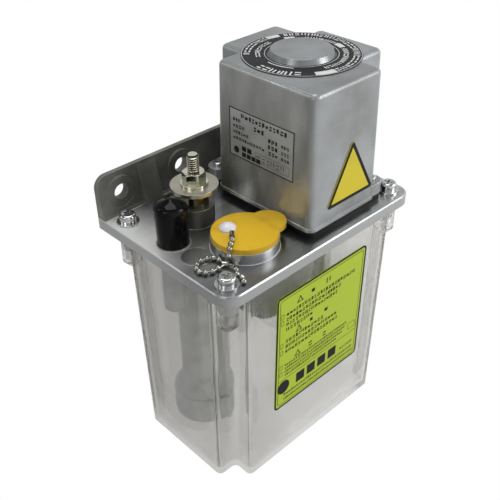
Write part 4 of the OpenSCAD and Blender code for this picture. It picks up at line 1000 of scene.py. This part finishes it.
@dataclass
class RingPrint:
    """Light marks round the black label on the cover.

    Rows and blocks have a radius, a height and the angles of both ends, in degrees.
    """

    centre_x: float = 103.2
    centre_y: float = 51.1
    height: float = 79.6
    seed: int = 3
    rows: Sequence[tuple[float, float, float, float]] = (
        (28.4, 4.6, 176.0, 226.0), (28.7, 3.6, 262.0, 424.0), (28.7, 3.6, 88.0, 140.0),
        (23.2, 3.0, 255.0, 330.0), (23.2, 3.0, 352.0, 400.0), (23.2, 2.8, 92.0, 150.0))
    blocks: Sequence[tuple[float, float, float, float]] = (
        (28.9, 4.2, 236.0, 258.0), (28.9, 3.6, 68.0, 84.0), (23.4, 3.4, 335.0, 349.0),
        (23.4, 3.4, 52.0, 66.0), (21.6, 0.8, 170.0, 212.0))
    widths: Span = (0.5, 0.8)
    gap: float = 0.28
    post_line: float = 0.2
    post_shift: Span = (0.0, 0.2)
    bar_levels: Span = (-0.45, 0.15)
    bar_line: float = 0.24
    block_step: float = 2.0
    block_turn: float = 2.05
    circles: Sequence[float] = (31.4, 19.4)
    circle_line: float = 0.3

    def build(self) -> Piece:
        """Makes rows of short bars, plain blocks and two thin circles.

        Returns:
            The marks as one piece.
        """
        base = spot(self.centre_x, self.centre_y, self.height)
        sheet = Sheet(Matrix.Translation(base), random.Random(self.seed))
        uniform = sheet.rng.uniform

        def turned(angle: float) -> Matrix:
            """The label's frame, turned by an angle in degrees."""
            return sheet.at @ Matrix.Rotation(math.radians(angle), 4, "Z")

        for radius, tall, angle, end in self.rows:
            while angle < end:
                wide = tall * uniform(*self.widths)
                at = turned(angle) @ Matrix.Translation((radius * MM, 0, 0))
                if sheet.rng.random() < 0.5:
                    post = self.post_line * tall
                    for side in (-wide / 2, wide / 2 - post):
                        low = -tall / 2 + uniform(*self.post_shift) * tall
                        sheet.bar((low, tall / 2), (side, side + post), at)
                else:
                    for level in self.bar_levels:
                        sheet.bar((level * tall, (level + self.bar_line) * tall), (-wide / 2, wide / 2), at)
                angle += math.degrees((wide + self.gap * tall) / radius)
        for radius, tall, start, end in self.blocks:
            arc = math.radians(self.block_turn) * radius
            for step in range(int((end - start) / self.block_step)):
                at = turned(start + self.block_step * step)
                sheet.bar((radius - tall / 2, radius + tall / 2), (0, arc), at)
        for radius in self.circles:
            outer = radius + self.circle_line
            spin(sheet.bm, base, ((radius, 0), (outer, 0), (outer, PRINT_RISE), (radius, PRINT_RISE)))
        return sheet.piece("ring_print", PRINT_LIGHT)


@dataclass
class FootGlints:
    """Painted highlight: bright rims on the plate round the feet of three fittings, where light catches them,
    each by place and radius.
    """

    rims: Sequence[tuple[Span, float]] = ((STUD, 10.45), (OUTLET, 8.9), (FILLER, 18.25))
    width: float = 0.4
    rise: float = 0.08

    def build(self) -> Piece:
        """Spins one flat rim for each fitting.

        Returns:
            The rims as one piece.
        """
        bm = bmesh.new()
        for place, radius in self.rims:
            outer = radius + self.width
            profile = ((radius, 0), (outer, 0), (outer, self.rise / 2), (radius, self.rise))
            spin(bm, spot(*place, 0.0), profile)
        return add_piece("foot_glints", bm, FOOT_GLINT, Body.PUMP)


@dataclass
class StudThread:
    """Thread ridges and the bright end face of the stroke stud over the nut."""

    low: float = 30.2
    high: float = 39.0
    top: float = 40.0
    end_radius: float = 2.5
    end_bevel: float = 0.1
    end_rise: float = 0.1
    core: float = 2.9
    core_half: float = 0.3
    crest: float = 3.25
    crest_half: float = 0.1
    pitch: float = 1.25

    def build(self) -> Piece:
        """Winds a ridge up the stud and brightens its end face.

        Returns:
            The thread as one piece.
        """
        turns = int((self.high - self.low) / self.pitch)
        ridge = ((self.core, -self.core_half), (self.crest, -self.crest_half), (self.crest, self.crest_half),
                 (self.core, self.core_half))
        bm = bmesh.new()
        spin(bm, spot(*STUD, self.low), ridge, steps=turns * ROUND_STEPS, turns=turns, climb=self.pitch)
        bmesh.ops.holes_fill(bm, edges=[edge for edge in bm.edges if edge.is_boundary], sides=4)
        end = Matrix.Translation(spot(*STUD, self.top + self.end_rise / 2))
        add_cone(bm, end, self.end_radius, self.end_radius - self.end_bevel, self.end_rise)
        return add_piece("stud_thread", bm, THREAD, Body.ROD)


@dataclass
class VinylCap:
    """Soft black cap with a rounded shoulder and pinch creases round its nipple, each by angle and depth."""

    foot: float = 0.6
    height: float = 26.6
    foot_radius: float = 8.3
    shoulder_radius: float = 8.8
    bore: float = 6.6
    bore_depth: float = 21.0
    steps: int = 84
    creases: Sequence[Span] = ((0.4, 0.22), (1.9, 0.12), (3.3, 0.25), (4.9, 0.16))
    crown: float = 22.5
    crown_hole: float = 0.3
    crease_radius: float = 3.4
    crease_reach: float = 3.8
    crease_power: int = 10

    def outline(self) -> list[Span]:
        """Gives the profile from the bore's end over foot and shoulder to the nipple.

        Returns:
            The radius and height of each corner.
        """
        bore, depth, foot, side = self.bore, self.bore_depth, self.foot_radius, self.shoulder_radius
        return [
            (0.0, depth), (bore * 0.9, depth), (bore, depth - 0.8), (bore, 0.0), (foot - 0.25, 0.0),
            (foot, 0.3), (foot + 0.2, 8.0), (side - 0.05, 18.0), (side, 20.6), (side - 0.25, 22.0),
            (side - 1.0, 23.2), (side - 2.3, 24.0), (side - 4.2, 24.7), (3.0, 25.3), (1.9, 25.9),
            (1.0, self.height - 0.3), (0.0, self.height - 0.2),
        ]

    def build(self) -> Piece:
        """Spins the cap's profile and pinches its crown.

        Returns:
            The cap, which stands for its CAD node.
        """
        base = spot(*OUTLET, self.foot)
        bm = bmesh.new()
        spin(bm, base, self.outline(), closed=False, steps=self.steps)
        bmesh.ops.remove_doubles(bm, verts=bm.verts, dist=1e-6)
        for vert in bm.verts:
            local = (vert.co - base) / MM
            radius = math.hypot(local.x, local.y)
            if local.z > self.crown and radius > self.crown_hole:
                angle = math.atan2(local.y, local.x)
                reach = max(0.0, 1.0 - abs(radius - self.crease_radius) / self.crease_reach)
                dent = sum(deep * max(0.0, math.cos(angle - turn)) ** self.crease_power
                           for turn, deep in self.creases)
                vert.co.z -= reach * dent * MM
        cap = add_piece("vinyl_cap", bm, VINYL, Body.VINYL, smooth=True)
        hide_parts("outlet_cap")
        return cap


@dataclass
class Studio:
    """Camera at the photograph's place, pale floor and soft lamps, in metres."""

    sensor: float = 36.0
    lens: float = 54.2
    clip: float = 0.01
    eye: Triple = (-0.25413, -0.25671, 0.36621)
    right: Triple = (0.7223, -0.69139, -0.01618)
    down: Triple = (-0.40919, -0.40839, -0.81596)
    forward: Triple = (0.55754, 0.59599, -0.57789)
    shift: Span = (0.0166, 0.006)
    aim: Triple = (0.0, 0.0, 0.12)
    floor_size: float = 6.0
    floor_level: float = -0.0002
    floor_shade: float = 0.8
    floor_span: float = 0.3
    room_span: float = 0.8
    bright_way: Triple = (0.75, -0.66, 0.0)
    sides: Span = (0.4, 1.1)
    ceiling_span: Span = (0.35, 0.95)
    ceiling: Span = (1.0, 0.3)
    ambient: float = 0.38
    lamps: Sequence[tuple[str, Triple, float, float]] = (
        ("lamp_top", (0.1, 0.2, 1.2), 0.7, 5.5),
        ("lamp_left", (-1.0, -0.1, 0.75), 0.35, 1.3),
        ("lamp_front", (0.7, -0.98, 0.72), 0.6, 6.5),
        ("lamp_rim", (-0.81, 0.84, 0.9), 0.3, 0.9),
        ("lamp_spark_a", (-0.75, -0.25, 1.0), 0.03, 0.3),
        ("lamp_spark_b", (-0.2, -0.75, 1.15), 0.03, 0.3),
        ("lamp_spark_c", (-0.5, 0.5, 1.1), 0.03, 0.3),
    )

    def camera(self) -> None:
        """Sets the camera up."""
        data = bpy.data.cameras.new("camera")
        data.sensor_width = self.sensor
        data.lens = self.lens
        data.shift_x, data.shift_y = self.shift
        data.clip_start = self.clip
        camera = bpy.data.objects.new("camera", data)
        axes = (self.right, -Vector(self.down), -Vector(self.forward), self.eye)
        camera.matrix_world = Matrix((*zip(*axes), (0, 0, 0, 1)))
        bpy.context.scene.collection.objects.link(camera)
        bpy.context.scene.camera = camera

    def side_light(self, nodes: Nodes, place: Socket, span: float) -> Socket:
        """Strength that grows from the dim left side of the room to its bright right front.

        Args:
            nodes: The tree that it is made in.
            place: Positions or directions.
            span: Distance from the middle to each end of the change.

        Returns:
            The strength's socket.
        """
        return nodes.ramp(nodes.dot(place, self.bright_way), (-span, span), self.sides)

    def floor(self) -> None:
        """Lays a pale floor that reads as white to the camera and with a dim side in reflections."""
        bm = bmesh.new()
        bmesh.ops.create_grid(bm, x_segments=1, y_segments=1, size=self.floor_size / 2)
        bmesh.ops.translate(bm, verts=bm.verts, vec=(0, 0, self.floor_level))
        mesh = bpy.data.meshes.new("studio_floor")
        bm.to_mesh(mesh)
        bm.free()
        floor = bpy.data.objects.new("studio_floor", mesh)
        bpy.context.scene.collection.objects.link(floor)
        brush = Brush("studio_floor")
        brush.use(Base_Color=(self.floor_shade,) * 3, Roughness=self.floor_shade)
        sheen = self.side_light(brush, brush.place, self.floor_span)
        shown = brush.mix(brush.rays("Glossy"), 1.0, sheen, "FLOAT")
        glow = brush.feed(brush.add("Emission"), Color=EVEN, Strength=shown)
        brush.cover(brush.layer(brush.seen_rays(), brush.shader, glow))
        mesh.materials.append(brush.material)

    def world(self) -> None:
        """Sets a white room that lights the pump less than it shows, and that metal sees with a dim side."""
        world = bpy.data.worlds.new("studio")
        bpy.context.scene.world = world
        world.use_nodes = True
        nodes = Nodes(world.node_tree)
        way = nodes.add("TexCoord").outputs["Generated"]
        height = nodes.feed(nodes.add("SeparateXYZ"), way).outputs["Z"]
        room = nodes.ramp(height, self.ceiling_span, self.ceiling)
        sheen = nodes.times(room, self.side_light(nodes, way, self.room_span))
        shown = nodes.mix(nodes.rays("Glossy"), room, sheen, "FLOAT")
        strength = nodes.mix(nodes.seen_rays(), self.ambient, shown, "FLOAT")
        nodes.feed(nodes.tree.nodes["Background"], Color=EVEN, Strength=strength)

    def light(self) -> None:
        """Hangs the soft lamps, each aimed at the middle of the pump."""
        for name, place, size, power in self.lamps:
            data = bpy.data.lights.new(name, "AREA")
            data.shape = "SQUARE"
            data.size = size
            data.energy = power
            lamp = bpy.data.objects.new(name, data)
            lamp.location = place
            lamp.rotation_mode = "QUATERNION"
            lamp.rotation_quaternion = (Vector(self.aim) - Vector(place)).to_track_quat("-Z", "Y")
            bpy.context.scene.collection.objects.link(lamp)

    def build(self) -> None:
        """Sets camera, floor, world, lamps and colour handling."""
        self.camera()
        self.floor()
        self.world()
        self.light()
        bpy.context.scene.view_settings.view_transform = "Standard"


def main() -> None:
    """Dresses the CAD nodes, adds the drawn pieces in order and sets the studio."""
    dress_nodes()
    makers: Sequence[Callable[[], Piece]] = (
        ReservoirPrint().build, DataPlatePrint().build, Triangle().build, RingPrint().build,
        StudThread().build, VinylCap().build, FootGlints().build,
    )
    for make in makers:
        make()
    Studio().build()


if __name__ == "__main__":
    main()
